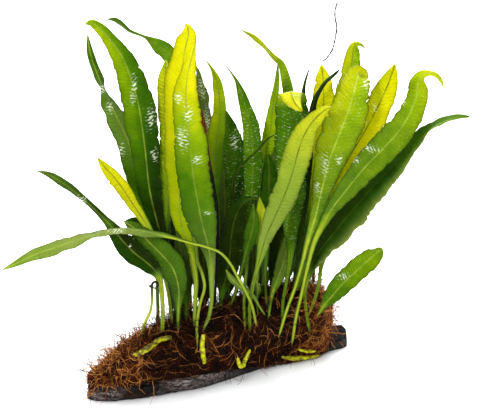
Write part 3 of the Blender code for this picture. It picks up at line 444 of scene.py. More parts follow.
        (9, 44, 1.6), (9, 75, 1.8), (8, 100, 2.2), (6.5, 120, 2.4), (10, 131, 1.8),
        (16, 137.5, 1.5), (24, 145, 1.3), (29, 151, 1.2), (34.5, 154.5, 0.5))),
}
# Fronds that lean away behind: across and depth of the root, heading in degrees to the right of
# straight back, how far the tip leans out, how high it rises, the width of the blade, and the share
# of the length that is bare stalk.
BACK_FRONDS = {
    "frond_behind_low": (-20.5, 11, -2, 24, 56, 12, 0.3),
    "frond_behind_left": (-41, 0, -8, 52, 122, 18, 0.32),
    "frond_behind_inner": (-27, 10, -10, 46, 84, 16, 0.1),
    "frond_behind_tall": (-11.5, 13, -9, 40, 150, 21, 0),
    "frond_behind_middle": (2, 18, 0, 48, 104, 20, 0),
    "frond_behind_short": (20, 28, 0, 40, 85, 21, 0),
    "frond_behind_right": (35.5, 36, 14, 45, 110, 20, 0),
    "frond_behind_tall_right": (50, 42, 25, 45, 105, 20, 0),
    "frond_behind_far_right": (60, 45, 48, 42, 85, 17, 0.15),
}
BACK_WIDTHS = (2.4, 13, 18, 19.5, 20, 20, 20, 19, 14, 7, 0.8)
print("fronds in front:", len(FRONDS), "behind:", len(BACK_FRONDS))

# %% Where the wood lies
# Rows of the branch: across, centre depth, half width, height.
WOOD = np.array((
    (-84, -37, 4, 8), (-79, -37, 8.5, 11.5), (-68, -33, 13, 14), (-52, -25.5, 16.5, 17),
    (-34, -17, 19, 19), (-12, -7, 19.5, 20), (8, 5, 18, 19.5), (26, 17, 14, 18),
    (42, 26.5, 10.5, 16), (56, 32.5, 9, 14.5), (70, 39, 8, 14), (79, 43.5, 7.5, 13.5),
    (82.5, 45, 5, 11)))


def wood_at(across):
    """Depth of the branch's centre, its half width and its height at this place across."""
    return [float(np.interp(across, WOOD[:, 0], WOOD[:, k])) for k in (1, 2, 3)]


print("in its middle the wood is %.0f mm wide and %.0f mm high" % (2 * wood_at(0)[1], wood_at(0)[2]))

# %% Fronds in front
CLEARANCE = 0.35
FACET_ROOM = 0.3
WIDEST_NEAR_MAT = 3.5
# Above FAN_FROM a frond moves away from the wood's line, by FAN times its distance from that line
# for each FAN_HEIGHT that it rises.
FAN = 0.9
FAN_FROM = 45.0
FAN_HEIGHT = 180.0


def spaced(values, places):
    """Values spread evenly from 0 to 1, read at the given places."""
    return np.interp(places, np.linspace(0.0, 1.0, len(values)), values)


def frond_rows(depths, turns, path):
    """The rows of a frond as place, width and turn."""
    places = np.linspace(0.0, 1.0, len(path))
    stands = depths[0] is None
    if stands:
        hit, _ = on_mat(*path[0][:2])
        depths = (hit.y, *depths[1:])
    depth = spaced(depths, places)
    turn = spaced(turns, places)
    ridge = wood_at(path[0][0])[0]
    rows = []
    for k, (across, up, width) in enumerate(path):
        rise = max(0.0, up - FAN_FROM) / FAN_HEIGHT
        point = seen(across, up, depth[k] + (depth[k] - ridge) * FAN * rise)
        if k == 0 and not stands:
            point = dropped_on_mat(point.x, point.y) or point
        point = clear_of_mat(point, 0.5 * min(width, WIDEST_NEAR_MAT) + CLEARANCE + FACET_ROOM)
        rows.append((*point, width, turn[k]))
    return rows


foot = frond_rows(*FRONDS["frond_front_broad"])[0]
print("the broad front frond stands at", [round(number) for number in foot[:3]], "mm")

# %% Fronds behind
# They stand a little freer of the mat, rise at once and lean out late.
PETIOLE_WIDTH = 2.2
BACK_ROOM = PETIOLE_WIDTH / 2 + CLEARANCE + 2 * FACET_ROOM
BACK_RISE = 1.35
BACK_LEAN = 1.7
BACK_FULL_WIDTH = 20.0
STALK_WIDEST = 3.0


def back_frond_rows(across, depth, heading, reach, height, width, stalk_share):
    """The rows of a frond that rises behind the mat's ridge and leans away, and where it faces."""
    root = dropped_on_mat(across, depth)
    away = Vector((math.sin(math.radians(heading)), math.cos(math.radians(heading)), 0.0))
    rows = []
    for s in np.linspace(0.0, 1.0, len(BACK_WIDTHS)).tolist():
        opened = float(spaced(BACK_WIDTHS, max(0.0, (s - stalk_share) / (1.0 - stalk_share))))
        rise = height * (1.0 - (1.0 - s) ** BACK_RISE)
        point = clear_of_mat(root + away * (reach * s ** BACK_LEAN) + Vector((0, 0, rise)), BACK_ROOM)
        scale = 1.0 if opened < STALK_WIDEST else width / BACK_FULL_WIDTH
        rows.append((*point, opened * scale, 0.0))
    return rows, -away


tip = back_frond_rows(*BACK_FRONDS["frond_behind_tall"])[0][-1]
print("the tallest frond behind ends at", [round(number) for number in tip[:3]], "mm")

# %% A smooth path
CURVE_STEPS = 12
FEWEST_STATIONS = 8


def smooth_path(rows, spacing):
    """A curve through the rows at equal steps: distance along, then each row's five numbers."""
    rows = np.array(rows, dtype=float)
    ends = np.vstack((2 * rows[0] - rows[1], rows, 2 * rows[-1] - rows[-2]))
    fine = []
    for k in range(1, len(ends) - 2):
        p0, p1, p2, p3 = ends[k - 1 : k + 3]
        t = np.linspace(0.0, 1.0, CURVE_STEPS, endpoint=False)[:, None]
        bend = 2 * p0 - 5 * p1 + 4 * p2 - p3
        fine.append(0.5 * (2 * p1 + (p2 - p0) * t + bend * t ** 2 + (3 * p1 - p0 - 3 * p2 + p3) * t ** 3))
    fine = np.vstack((*fine, rows[-1:]))
    lengths = np.linalg.norm(np.diff(fine[:, :3], axis=0), axis=1)
    along = np.concatenate(([0.0], np.cumsum(lengths)))
    wanted = np.linspace(0.0, along[-1], max(FEWEST_STATIONS, int(round(along[-1] / spacing))))
    return np.column_stack([wanted] + [np.interp(wanted, along, fine[:, k]) for k in range(5)])


longest = smooth_path(frond_rows(*FRONDS["frond_long_left"]), 1.0)
print("the longest frond is %.0f mm" % longest[-1, 0])

# %% [markdown]
# ## Blades
# A java fern's frond is a thin leathery ribbon. Its midrib is a low ridge, its margins are wavy, and
# between the side veins the blade is quilted, which is what breaks the light into dashes. The
# outline of each station is therefore set out in full, top and underside, from the midrib to the
# margins, with the stalk as a small round version of the same outline.

# %% Across and back along a midrib
SMOOTH_OVER = 9


def carried_frame(centre, look, turn):
    """Along a midrib: the direction across the blade and the way the blade's back faces."""
    tangent = np.gradient(centre, axis=0)
    tangent /= np.linalg.norm(tangent, axis=1)[:, None]
    flat = np.cross(tangent, np.array(look))
    for k in range(1, len(flat)):
        if flat[k] @ flat[k - 1] < 0.0:
            flat[k] = -flat[k]
    window = np.ones(SMOOTH_OVER) / SMOOTH_OVER
    padded = np.pad(flat, ((SMOOTH_OVER // 2,) * 2, (0, 0)), mode="edge")
    across = np.column_stack([np.convolve(padded[:, k], window, mode="valid") for k in range(3)])
    across -= tangent * (across * tangent).sum(axis=1)[:, None]
    across /= np.linalg.norm(across, axis=1)[:, None]
    face = np.cross(across, tangent)
    angle = np.radians(turn)[:, None]
    side = across * np.cos(angle) + face * np.sin(angle)
    return side, np.cross(side, tangent)


side, _ = carried_frame(longest[:, 1:4], LOOK, longest[:, 5])
print("across the longest frond's middle:", side[len(side) // 2].round(2))

# %% Margins
# What bends a margin in and out: its length in millimetres, and its depth as a share of the half width.
LOBE_LENGTH = 10.0
LOBE_DEPTH = 0.12
WAVE_LENGTH = 3.2
WAVE_DEPTH = 0.08
NICK_LENGTH = 2.1
NICK_DEPTH = 0.4
NICKS_ABOVE = 0.38
OTHER_MARGIN = 37.0
# The left and the right margin's ripples: the side, the length in millimetres, and where they start.
RIPPLES = ((-1, 17.0, 0.0), (1, 21.0, 1.9))
RIPPLE_WANDERS = 25.0
WANDER = 2.0
RIPPLE_SWELLS = 14.0
SWELL_MIDDLE = 0.9
SWELL = 1.2
RIPPLE_BEND = 2.2
FRILL = 0.5
FRILL_LENGTH = 2.6
FRILL_BEND = 5


def margin_reach(along, blade, seed, shift):
    """How far a margin reaches, as a share of the half width, with its lobes, waves and nicks."""
    slow = smooth_noise(along / LOBE_LENGTH + shift, seed)
    quick = smooth_noise(along / WAVE_LENGTH + shift, seed + 3.0)
    nicks = np.maximum(0.0, smooth_noise(along / NICK_LENGTH + shift, seed + 6.0) - NICKS_ABOVE)
    return 1.0 + blade * (LOBE_DEPTH * slow + WAVE_DEPTH * quick - NICK_DEPTH * nicks)


def rippled(along, q, blade, seed, wave):
    """How far the blade swings back and forth towards its margins, in millimetres."""
    ripple = 0.0
    for hand, period, shift in RIPPLES:
        wander = WANDER * smooth_noise(along / RIPPLE_WANDERS, seed + hand)
        swell = SWELL_MIDDLE + SWELL * smooth_noise(along / RIPPLE_SWELLS, seed + 5 * hand)
        strength = wave * blade * np.sin(2 * np.pi * along / period + seed + shift + wander) * swell
        frill = FRILL * wave * blade * smooth_noise(along / FRILL_LENGTH + shift, seed + 11.0)
        bent = strength[:, None] * np.abs(q) ** RIPPLE_BEND + frill[:, None] * np.abs(q) ** FRILL_BEND
        ripple = ripple + np.where(q * hand > 0, bent, 0.0)
    return ripple


reaches = margin_reach(longest[:, 0], np.ones(len(longest)), 1.0, 0.0)
print("a margin reaches from %.2f to %.2f of the half width" % (reaches.min(), reaches.max()))

# %% Quilting
VEIN_SPACING = 2.4
VEIN_SLANT = 0.55
VEINS_DRIFT = 6.0
VEINS_STRAY = 0.35
QUILTING = 1.5
QUILT_SQUARENESS = 0.7
# Pillows come and go over some millimetres, and finer crinkles run between them.
PILLOWS_VARY = 8.0
PILLOW_LEAST = 0.35
PILLOW = 1.3
CRINKLE_LENGTH = 3.0
CRINKLE = 1.3


def crinkle(u, v, seed, size):
    """Uneven noise over the blade, with features of this size in millimetres."""
    flat = [noise.noise(Vector((a / size, b / size, seed))) for a, b in zip(u.ravel(), v.ravel())]
    return np.array(flat).reshape(u.shape)


def quilted(along, u, v, q, seed):
    """The pillows between the side veins, for a blade with a relief of one millimetre."""
    drift = VEINS_STRAY * smooth_noise(along / VEINS_DRIFT, seed + 9)[:, None]
    phase = (v - VEIN_SLANT * np.abs(u)) / VEIN_SPACING + drift
    uneven = PILLOW_LEAST + PILLOW * np.abs(crinkle(u, v, seed + 20.0, PILLOWS_VARY))
    pillows = uneven * np.cos(2 * np.pi * phase) + CRINKLE * crinkle(u, v, seed + 30.0, CRINKLE_LENGTH)
    return QUILTING * np.sin(np.pi * np.abs(q)) ** QUILT_SQUARENESS * pillows


print("side veins, to 100 mm of blade:", round(100 / VEIN_SPACING))

# %% One blade
STATION = 0.55
BLADE_FROM = 2.9
BLADE_OPENS_OVER = 6.0
PETIOLE_THICKNESS = 1.9
SHEET_THICKNESS = 0.5
RIM_SQUARENESS = 6
# The midrib's height and half width in millimetres, on the face and on the underside.
RIB_ABOVE = (0.16, 0.55)
RIB_BELOW = (0.45, 0.75)
TROUGH = 0.10
TROUGH_BEND = 1.35
TROUGH_VARIES = 30.0
TROUGH_UNEVEN = 0.8
ROOT_RUNS_IN = 5.0
STALK_THINNING = 5
COLUMNS = np.array((-1, -.95, -.84, -.68, -.5, -.32, -.15, 0, .15, .32, .5, .68, .84, .95, 1))


def blade_rings(line, look, seed, relief, wave, trough):
    """Outlines of a frond, and each vertex's marks, such as its place across and along the blade."""
    run_in = line[0].copy()
    first_step = line[1, 1:4] - line[0, 1:4]
    run_in[0] -= ROOT_RUNS_IN
    run_in[1:4] -= first_step / np.linalg.norm(first_step) * ROOT_RUNS_IN
    line = np.vstack((run_in, line))
    along, centre, width, turn = line[:, 0], line[:, 1:4], line[:, 4], line[:, 5]
    side, back = carried_frame(centre, look, turn)
    blade = np.clip((width - BLADE_FROM) / BLADE_OPENS_OVER, 0.0, 1.0)
    blade = blade * blade * (3.0 - 2.0 * blade)
    keep = [k for k in range(len(line)) if blade[k] > 0 or k % STALK_THINNING == 0 or k == len(line) - 1]
    along, centre, width, side, back, blade = (a[keep] for a in (along, centre, width, side, back, blade))

    q = COLUMNS[None, :]
    b = blade[:, None]
    left, right = (margin_reach(along, blade, seed, shift)[:, None] for shift in (0.0, OTHER_MARGIN))
    u = q * (np.where(q < 0, left, right) * (width / 2)[:, None])
    v = np.broadcast_to(along[:, None], u.shape)
    round_stalk = 0.5 * np.minimum(PETIOLE_THICKNESS, width)[:, None] * np.sqrt(1.0 - q * q)
    sheet = 0.5 * SHEET_THICKNESS * np.sqrt(1.0 - np.abs(q) ** RIM_SQUARENESS)
    cupped = trough * (1.0 + TROUGH_UNEVEN * smooth_noise(along / TROUGH_VARIES, seed + 15.0))
    quilt = relief * b * quilted(along, u, v, q, seed)
    ripple = rippled(along, q, blade, seed, wave)
    lift = -(cupped * width)[:, None] * b * np.abs(q) ** TROUGH_BEND + quilt + ripple

    def thick(rib_height, rib_half_width):
        ridge = rib_height * np.exp(-((u / rib_half_width) ** 2))
        return (1 - b) * round_stalk + b * (sheet + ridge)

    def face(height):
        return centre[:, None] + side[:, None] * u[..., None] + back[:, None] * height[..., None]

    def all_round(above, below):
        return np.concatenate((above, below[:, -2:0:-1]), axis=1)

    rings = all_round(face(lift - thick(*RIB_ABOVE)), face(lift + thick(*RIB_BELOW)))
    same_below = {
        "across": u, "along": v, "reach": np.abs(q), "hand": np.tanh(3.0 * q), "blade": b,
        "share": (along / along[-1])[:, None]}
    marks = {}
    for key, values in same_below.items():
        values = np.broadcast_to(values, u.shape)
        marks[key] = all_round(values, values)
    marks["under"] = all_round(np.zeros_like(u), np.ones_like(u))
    return closed_ends(rings), marks


print("outline of", 2 * len(COLUMNS) - 2, "points")

# %% [markdown]
# ## Leaf tissue
# One material serves every living frond, because they are one kind of tissue at different ages:
# old fronds are dark and dense, young ones thin and yellow, and light passes through those.
# Each vertex carries its tone, which in places is painted shade, how pale it is, from its bloom and
# in places from painted glare, the painted shade of its margins, whether the midrib shows pale or
# dark, how beaded it is and whether a wet film glints there, both painted highlights. Side veins are
# drawn from the place across and along the blade in real millimetres, 2.4 mm apart, with a finer net
# between them.

# %% Leaf: veins
# In a Map Range, inputs 1 and 2 are the range that is read, and 3 and 4 the range that it gives.
# The blade's own map is in millimetres, so a noise of scale 0.22 has features 4.5 mm across.
# The marks carry painted light as well: painted shade in the tone and at the margins, painted glare in the
# paleness, and painted highlights for beads and glints.
LEAF_MARKS = ("tone", "pale", "rib", "bead_glints", "painted_glint", "margin_shade", "relief")
# Wet, leathery tissue: dark and shiny outside, and yellow where light comes through it.
leaf, tree = new_material("wet_fern_tissue")
mark = {key: add_node(tree, "Attribute", out="Fac", attribute_name=key) for key in LEAF_MARKS}
place = add_node(tree, "UVMap", uv_map="blade_mm")
mirrored = add_node(tree, "VectorMath", {0: place}, operation="ABSOLUTE")
from_rib = add_node(tree, "SeparateXYZ", {0: mirrored})
wander = add_node(tree, "TexNoise", {"Vector": place, "Scale": 0.22, "Detail": 3.0}, "Fac")
blotch = add_node(tree, "TexNoise", {"Vector": place, "Scale": 0.11, "Detail": 4.0}, "Fac")

# Side veins leave the midrib at a slant, with a net of finer ones between.
turn = 2 * math.pi / VEIN_SPACING
slanted = add_node(tree, "VectorMath", {0: mirrored, 1: (-VEIN_SLANT * turn, turn, 0.0)}, "Value",
                   operation="DOT_PRODUCT")
wavy = add_node(tree, "Math", {0: wander, 1: 12.0, 2: slanted}, operation="MULTIPLY_ADD")
ripples = add_node(tree, "Math", {0: wavy}, operation="COSINE")
vein = add_node(tree, "MapRange", {0: ripples, 1: 0.35, 2: 1.0})
cells = add_node(tree, "TexVoronoi", {"Vector": place, "Scale": 0.75}, "Distance",
                 feature="DISTANCE_TO_EDGE")
net = add_node(tree, "MapRange", {0: cells, 1: 0.09, 2: 0.0, 4: 0.5})
lines = add_node(tree, "Math", {0: vein, 1: net}, operation="MAXIMUM")
age = add_node(tree, "TexNoise", {"Vector": place, "Scale": 0.16, "Detail": 2.0, "W": 3.0}, "Fac",
               noise_dimensions="4D")
sunk_here = add_node(tree, "MapRange", {0: age, 1: 0.4, 2: 0.62, 3: 0.3, 4: 1.15})
drawn = add_node(tree, "Math", {0: lines, 1: mark["relief"]}, operation="MULTIPLY")
line_depth = add_node(tree, "Math", {0: drawn, 1: sunk_here}, operation="MULTIPLY")
rib_shows = add_node(tree, "MapRange", {0: blotch, 1: 0.3, 2: 0.6, 3: 0.25, 4: 0.85})
midrib = add_node(tree, "MapRange", {0: from_rib, 1: 0.62, 2: 0.2, 4: rib_shows})
print("nodes with the veins:", len(tree.nodes))

# %% Leaf: painted highlights of water
# Painted highlights: beads are pale round spots about half a millimetre across, painted where water
# beads would glint, and glints are broken pale dashes painted where a wet film would catch the light.
drop = add_node(tree, "TexVoronoi", {"Vector": place, "Scale": 0.68}, "Distance")
groups = add_node(tree, "TexNoise", {"Vector": place, "Scale": 0.12, "Detail": 1.0}, "Fac")
bead_glints_here = add_node(tree, "MapRange", {0: groups, 1: 0.42, 2: 0.62, 4: mark["bead_glints"]})
spot = add_node(tree, "MapRange", {0: drop, 1: 0.24, 2: 0.12, 4: 0.75})
bead_glint = add_node(tree, "Math", {0: bead_glints_here, 1: spot}, operation="MULTIPLY")
swept = add_node(tree, "Mapping", {
    "Vector": mirrored, "Rotation": (0, 0, -0.5), "Scale": (0.45, 1.1, 1.0)})
dashes = add_node(tree, "TexNoise", {"Vector": swept, "Scale": 1.0, "Detail": 3.0}, "Fac")
broken = add_node(tree, "Math", {0: ripples, 1: -0.09, 2: dashes}, operation="MULTIPLY_ADD")
painted_glint_strength = add_node(tree, "Math", {0: mark["painted_glint"], 1: 0.45, 2: broken}, operation="MULTIPLY_ADD")
painted_glint = add_node(tree, "MapRange", {0: painted_glint_strength, 1: 0.86, 2: 1.06, 4: 0.85})
print("nodes with the water:", len(tree.nodes))

# %% Leaf: colours
# One ramp is the light that the skin gives back, the other what comes through the blade.
uneven = add_node(tree, "MapRange", {0: blotch, 1: 0.0, 2: 1.0, 3: -0.13, 4: 0.13})
tone = add_node(tree, "Math", {0: mark["tone"], 1: uneven}, operation="ADD")
rib_colour = add_node(tree, "ValToRGB", {0: mark["rib"]}, stops=((0.0, "#2a3e04"), (1.0, "#c0d050")))
given_back = ((0.0, "#0a1e02"), (0.25, "#1f4a03"), (0.5, "#4a7804"), (0.75, "#8aa806"), (1.0, "#d0cc0c"))
let_through = ((0.0, "#081a01"), (0.25, "#225202"), (0.5, "#5c8a03"), (0.75, "#b8cc05"), (1.0, "#f6f010"))
# Laid over both ramps: paleness, vein lines, the margins' painted shade, the midrib, and the painted
# highlights of beads and glints.
laid_over = (
    (mark["pale"], linear("#8ea04a")), (line_depth, linear("#173404")),
    (mark["margin_shade"], linear("#122a03")), (midrib, rib_colour),
    (bead_glint, linear("#dcec8c")), (painted_glint, linear("#f6fadf")))
colours = []
for stops in (given_back, let_through):
    layer = add_node(tree, "ValToRGB", {0: tone}, stops=stops)
    for amount, colour in laid_over:
        layer = add_node(tree, "Mix", {"Factor": amount, 6: layer, 7: colour}, 2, data_type="RGBA")
    colours.append(layer)
print("nodes with the colours:", len(tree.nodes))

# %% Leaf: skin and light
LEAF_IOR = 1.22
LET_THROUGH = 0.36
grain = add_node(tree, "TexNoise", {"Vector": place, "Scale": 0.9, "Detail": 4.0}, "Fac")
sunk = add_node(tree, "Math", {0: lines, 1: -0.3, 2: grain}, operation="MULTIPLY_ADD")
height = add_node(tree, "Math", {0: bead_glint, 1: 0.6, 2: sunk}, operation="MULTIPLY_ADD")
relief = add_node(tree, "Bump", {"Height": height, "Strength": 0.8, "Distance": 0.0006})
damp = add_node(tree, "TexNoise", {"Vector": place, "Scale": 0.05, "Detail": 2.0}, "Fac")
rough = add_node(tree, "MapRange", {0: damp, 1: 0.42, 2: 0.62, 3: 0.16, 4: 0.5})
skin = add_node(tree, "BsdfPrincipled", {
    "Base Color": colours[0], "Roughness": rough, "Normal": relief, "IOR": LEAF_IOR,
    "Specular Tint": linear("#e8ff58")})
through = add_node(tree, "BsdfTranslucent", {"Color": colours[1], "Normal": relief})
both = add_node(tree, "MixShader", {0: LET_THROUGH, 1: skin, 2: through})
add_node(tree, "OutputMaterial", {"Surface": both})
print("leaf nodes:", len(tree.nodes))

# %% Dead leaf material
# Dry, dead tissue: a stalk painted nearly black lower down, which is painted shade where it stands deep among
# the other fronds, and a dull red-brown blade with darker streaks along it.
# Painted shade: nearly black up to this far along the frond, red-brown from the next distance on.
SHADED_BLACK_UP_TO = 96.0
RUSTY_FROM = 124.0
dead, tree = new_material("dry_dead_frond")
place = add_node(tree, "UVMap", uv_map="blade_mm")
stretch = add_node(tree, "Mapping", {"Vector": place, "Scale": (1.6, 0.12, 1.0)})
streak = add_node(tree, "TexNoise", {"Vector": stretch, "Scale": 1.0, "Detail": 4.0}, "Fac")
rusty = add_node(tree, "ValToRGB", {0: streak}, stops=(
    (0.3, "#2c1202"), (0.52, "#6a3208"), (0.75, "#9c5618")))
along = add_node(tree, "SeparateXYZ", {0: place}, "Y")
# From the painted shade of the lower stalk to the rusty blade.
out_of_shade = add_node(tree, "MapRange", {0: along, 1: SHADED_BLACK_UP_TO, 2: RUSTY_FROM})
colour = add_node(tree, "Mix", {"Factor": out_of_shade, 6: linear("#0c0a04"), 7: rusty}, 2, data_type="RGBA")
finish_surface(tree, {"Base Color": colour, "Roughness": 0.6, "IOR": 1.2}, (streak, 0.6, 0.0006))
print("dead leaf nodes:", len(tree.nodes))

# %% [markdown]
# ## Each frond's looks
# The same tissue looks different on every frond, by age and by how the light falls through it. A
# short list of tones from root to tip, from 0, nearly black green, to 1, bright yellow, says it in
# one line a frond; the darkest tones are also painted shade, for fronds deep in the plant or behind
# it. The other columns are the pale bloom of an underside, which on some fronds is painted glare,
# the midrib from dark to pale, beads, which are painted highlights of water, the depth of the
# quilting in millimetres and the waviness of the margins.

# %% Looks of the fronds
# tones (partly painted shade), pale (bloom, and painted glare on some fronds), rib, beads (painted
# highlights), quilting, waviness
LOOKS = {
    "frond_tall_left": ((.25, .04, .07, .22, .38, .5, .62, .74), (0, 0), .6, .25, .16, .9),
    "frond_narrow_left": ((.3, .12, .22, .4, .36, .35, .3, .4), (0, 0, 0, 0, .4, .1, 0), .5, .2, .14, 1.0),
    "frond_curled_back": ((.2, .3, .35, .4, .5, .55, .35), (0, 0, .1), .3, .3, .12, .8),
    "frond_tall_yellow": ((.6, .7, .78, .85, .92, 1, 1), (0, 0), .45, .1, .12, .6),
    "frond_ribbed_left": ((.5, .52, .58, .66, .75, .85), (.1, .1), .4, .1, .26, .7),
    "frond_front_broad": ((.4, .26, .3, .42, .52, .62, .8, 1, 1), (.5, .4, .15, 0, 0, 0, 0), .5, .2, .14, .8),
    "frond_edge_on": ((.6, .45, .25, .12, .06, .1), (.2, .1, .3, .6), .6, .4, .12, .7),
    "frond_middle_yellow": ((.5, .45, .5, .62, .78, .85), (.1, 0), .35, .3, .14, .9),
    "frond_middle_dark": ((.2, .14, .22, .36, .5), (0, 0), .15, 1.0, .16, .8),
    "frond_speckled": ((.25, .2, .34, .46, .52, .4), (0, 0), .3, 1.0, .16, .7),
    "frond_arching_yellow": ((.5, .5, .55, .5, .5, .85, .9), (.1, 0), .4, .2, .12, .6),
    "frond_slim_middle": ((.45, .55, .7, .75, .6), (.1, 0), .3, .2, .12, .5),
    "frond_folded_tip": (
        (.2, .22, .36, .42, .45, .45, .42, .42, .42, .42, .95, 1), (0, 0), .1, 1.0, .16, .8),
    "frond_needle_tip": ((.15, .02, .02, 0, 0), (0, 0), .05, .2, .12, .5),
    "frond_back_yellow": ((.6, .7, .85, .95, 1), (0, 0), .3, .1, .12, .8),
    "frond_dark_crossing": ((.1, 0, .02, .04), (0, 0), .05, .2, .12, .5),
    "frond_hooked_right": ((.5, .5, .58, .66, .75, .85), (.1, 0), .35, .2, .14, .8),
    "frond_broad_right": ((.5, .42, .48, .6, .72, .82, .85), (.2, .15, .05, 0), 1.0, .8, .16, .9),
    "frond_veined_yellow": ((.5, .6, .75, .88, .95, 1, .98), (.1, 0), .1, .1, .16, 1.0),
    "frond_drooping_tip": ((.4, .28, .38, .5, .56, .62, .76, .95), (.15, .1, 0), .75, .6, .16, 1.0),
    "frond_far_right": ((.3, .1, .1, .15, .24, .35, .5), (0, 0, 0, .1), .05, .2, .14, .8),
    "frond_low_right": ((.45, .5, .6, .64, .6), (.05, 0), .7, .4, .22, .8),
    "frond_underside_front": ((.5, .56, .6, .66, .72, .88, .98), (.6, .7, .65, .5, .35, .1), .1, .1, .16, .9),
    "frond_yellow_left": ((.5, .5, .7, .92, 1, .95), (.1, 0), .2, .3, .16, .8),
    "frond_twisted_left": ((.75, .4, .1, .05, .08, .16, .25, .3), (.05, 0, 0, .2), .3, .2, .2, .9),
    "frond_long_left": (
        (.7, .6, .4, .35, .4, .55, .6), (.1, .1, .1, .1, .15, .4, .9, .95, .6, .2), .7, .1, .12, .6),
    "frond_ribbed_low": ((.36, .26, .38, .4, .35), (.1, .1), .6, .2, .2, .8),
    "frond_small_left": ((.2, .1, .08, .1), (0, 0), .15, .2, .14, .8),
    "frond_inner_left": ((.1, -.03, 0, .05), (0, 0), .05, .2, .14, .8),
    "frond_blue_green": ((.12, .06, .1), (0, .1), .1, .2, .14, .6),
    "frond_olive": ((.3, 0, -.02, .02, .15), (0, 0), .05, .2, .16, .8),
    "frond_inner_bright": ((.5, .3, .35, .4), (.1, 0), .3, .2, .14, .6),
    "frond_middle_green": ((.3, .2, .25, .25), (0, 0), .15, .3, .14, .6),
    "frond_young_yellow": ((.6, .65, .8, .85), (0, 0), .5, .1, .12, .6),
    "frond_narrow_pale": ((.5, .4, .4), (.3, .4), .6, .1, .1, .4),
    "frond_tiny": ((.5, .4, .4), (.2, .3), .6, .1, .08, .3),
    "frond_centre_pale": ((.4, .4, .42), (.3, .35), .6, .1, .14, .6),
    "frond_dark_inner": ((.1, -.03, 0, .06), (0, 0), .05, .2, .14, .8),
    "frond_right_hidden": ((.3, .1, .08, .1), (0, 0), .1, .2, .14, .8),
    "frond_thin_arching": ((.2, .05, .05, .1), (0, 0), .05, .1, .08, .5),
    "dead_brown_frond": ((.5, .5), (0, 0), .3, 0, .22, 2.2),
}
# Fronds behind stand in shade, so their tones are painted dark: painted shade.
BACK_LOOK = ((.1, -.04, .02, .25, .5), (0, 0, .1), .15, .2, .16, .9)
print("looks:", len(LOOKS))

# %% Stalks, glints and halves
# Tone and paleness of the stalks: those in front are lit and straw yellow, the others stand in shade.
STALKS = {
    "frond_tall_yellow": (.95, .35), "frond_front_broad": (.75, .5), "frond_edge_on": (1.1, .55),
    "frond_long_left": (1, .2), "frond_drooping_tip": (.98, .15), "frond_broad_right": (.94, .15),
    "frond_twisted_left": (1.05, .4), "frond_yellow_left": (.95, .4), "frond_far_right": (.86, .2),
    "frond_underside_front": (.8, .25), "frond_low_right": (.75, .1), "frond_folded_tip": (.66, .1),
    "frond_centre_pale": (.6, .15), "frond_ribbed_low": (.6, .15), "frond_narrow_pale": (.66, .25),
    "frond_speckled": (.6, .1), "frond_veined_yellow": (.78, .15), "frond_hooked_right": (.66, .1),
    "frond_right_hidden": (.8, .25), "frond_thin_arching": (.1, 0)}
SHADED_STALK = (.4, .06)
# Painted highlights where a wet film would glint: across and up the front view, and how far each patch
# reaches both ways.
PAINTED_GLINTS = {
    "frond_tall_left": ((-46, 165, 5, 11), (-44, 141, 4, 7), (-57, 187, 2.5, 12), (-58, 178, 3, 8)),
    "frond_narrow_left": ((-79, 183, 5, 5), (-73, 172, 4, 6), (-65, 144, 3, 7)),
    "frond_front_broad": ((-28, 178, 5, 6), (-22, 167, 5, 8), (-26, 152, 6, 12), (-16, 138, 5, 5),
                          (-9, 103, 3.5, 2.5)),
    "frond_edge_on": ((-13, 185, 5, 12), (-10, 163, 5, 14)),
    "frond_middle_dark": ((8, 150, 5, 10),),
    "frond_folded_tip": ((44, 182.5, 10, 1.6),),
    "frond_broad_right": ((67, 135, 4, 12), (62, 120, 3, 8), (94, 187, 4, 6), (76, 138, 4, 5)),
    "frond_veined_yellow": ((90, 168, 4, 10), (99, 172, 3, 6)),
    "frond_drooping_tip": ((96, 145, 9, 4), (86, 138, 6, 4), (117, 178, 4, 8)),
    "frond_low_right": ((79, 62, 6, 4),),
    "frond_long_left": ((-68, 92, 8, 4),),
    "frond_twisted_left": ((-92, 112, 6, 4), (-60, 82, 2, 2)),
}
# How much yellower the left half of a blade is than its right half: painted light and shade, for the way each
# half faces the light.
HALF_SHADING = {
    "frond_tall_left": .14, "frond_narrow_left": .08, "frond_ribbed_left": .08,
    "frond_front_broad": -.05, "frond_middle_yellow": .08, "frond_middle_dark": .1,
    "frond_folded_tip": .06, "frond_broad_right": .06, "frond_veined_yellow": -.08,
    "frond_drooping_tip": -.03, "frond_far_right": -.07, "frond_twisted_left": .08,
    "frond_hooked_right": .08, "frond_speckled": .06}
# Fronds with a worn, pale right margin, and how pale.
FRINGES = {"frond_far_right": .9}
# Fronds that are folded more deeply along the midrib than the rest.
FOLDS = {
    "frond_drooping_tip": 0.26, "frond_far_right": 0.18, "frond_yellow_left": 0.2,
    "frond_veined_yellow": 0.16}
print("glints:", sum(len(patches) for patches in PAINTED_GLINTS.values()))

# %% Where it shows, and the blade's own map
def seen_at(places):
    """Where points in millimetres show in the front view, as across and up."""
    rays = places - np.array(EYE)
    at = np.array(EYE) + rays * (EYE_DISTANCE / (rays @ np.array(LOOK)))[..., None]
    return at[..., 0], at @ np.array(VIEW_UP)


def map_blade(mesh):
    """The blade's own map: across and along it in millimetres, from its two marks of that name."""
    corners = np.empty(len(mesh.loops), dtype=np.int32)
    mesh.loops.foreach_get("vertex_index", corners)
    laid_out = []
    for key in ("across", "along"):
        values = np.empty(len(mesh.vertices), dtype=np.float32)
        mesh.attributes[key].data.foreach_get("value", values)
        mesh.attributes.remove(mesh.attributes[key])
        laid_out.append(values[corners])
    places = mesh.uv_layers.new(name="blade_mm")
    places.uv.foreach_set("vector", np.column_stack(laid_out).ravel())


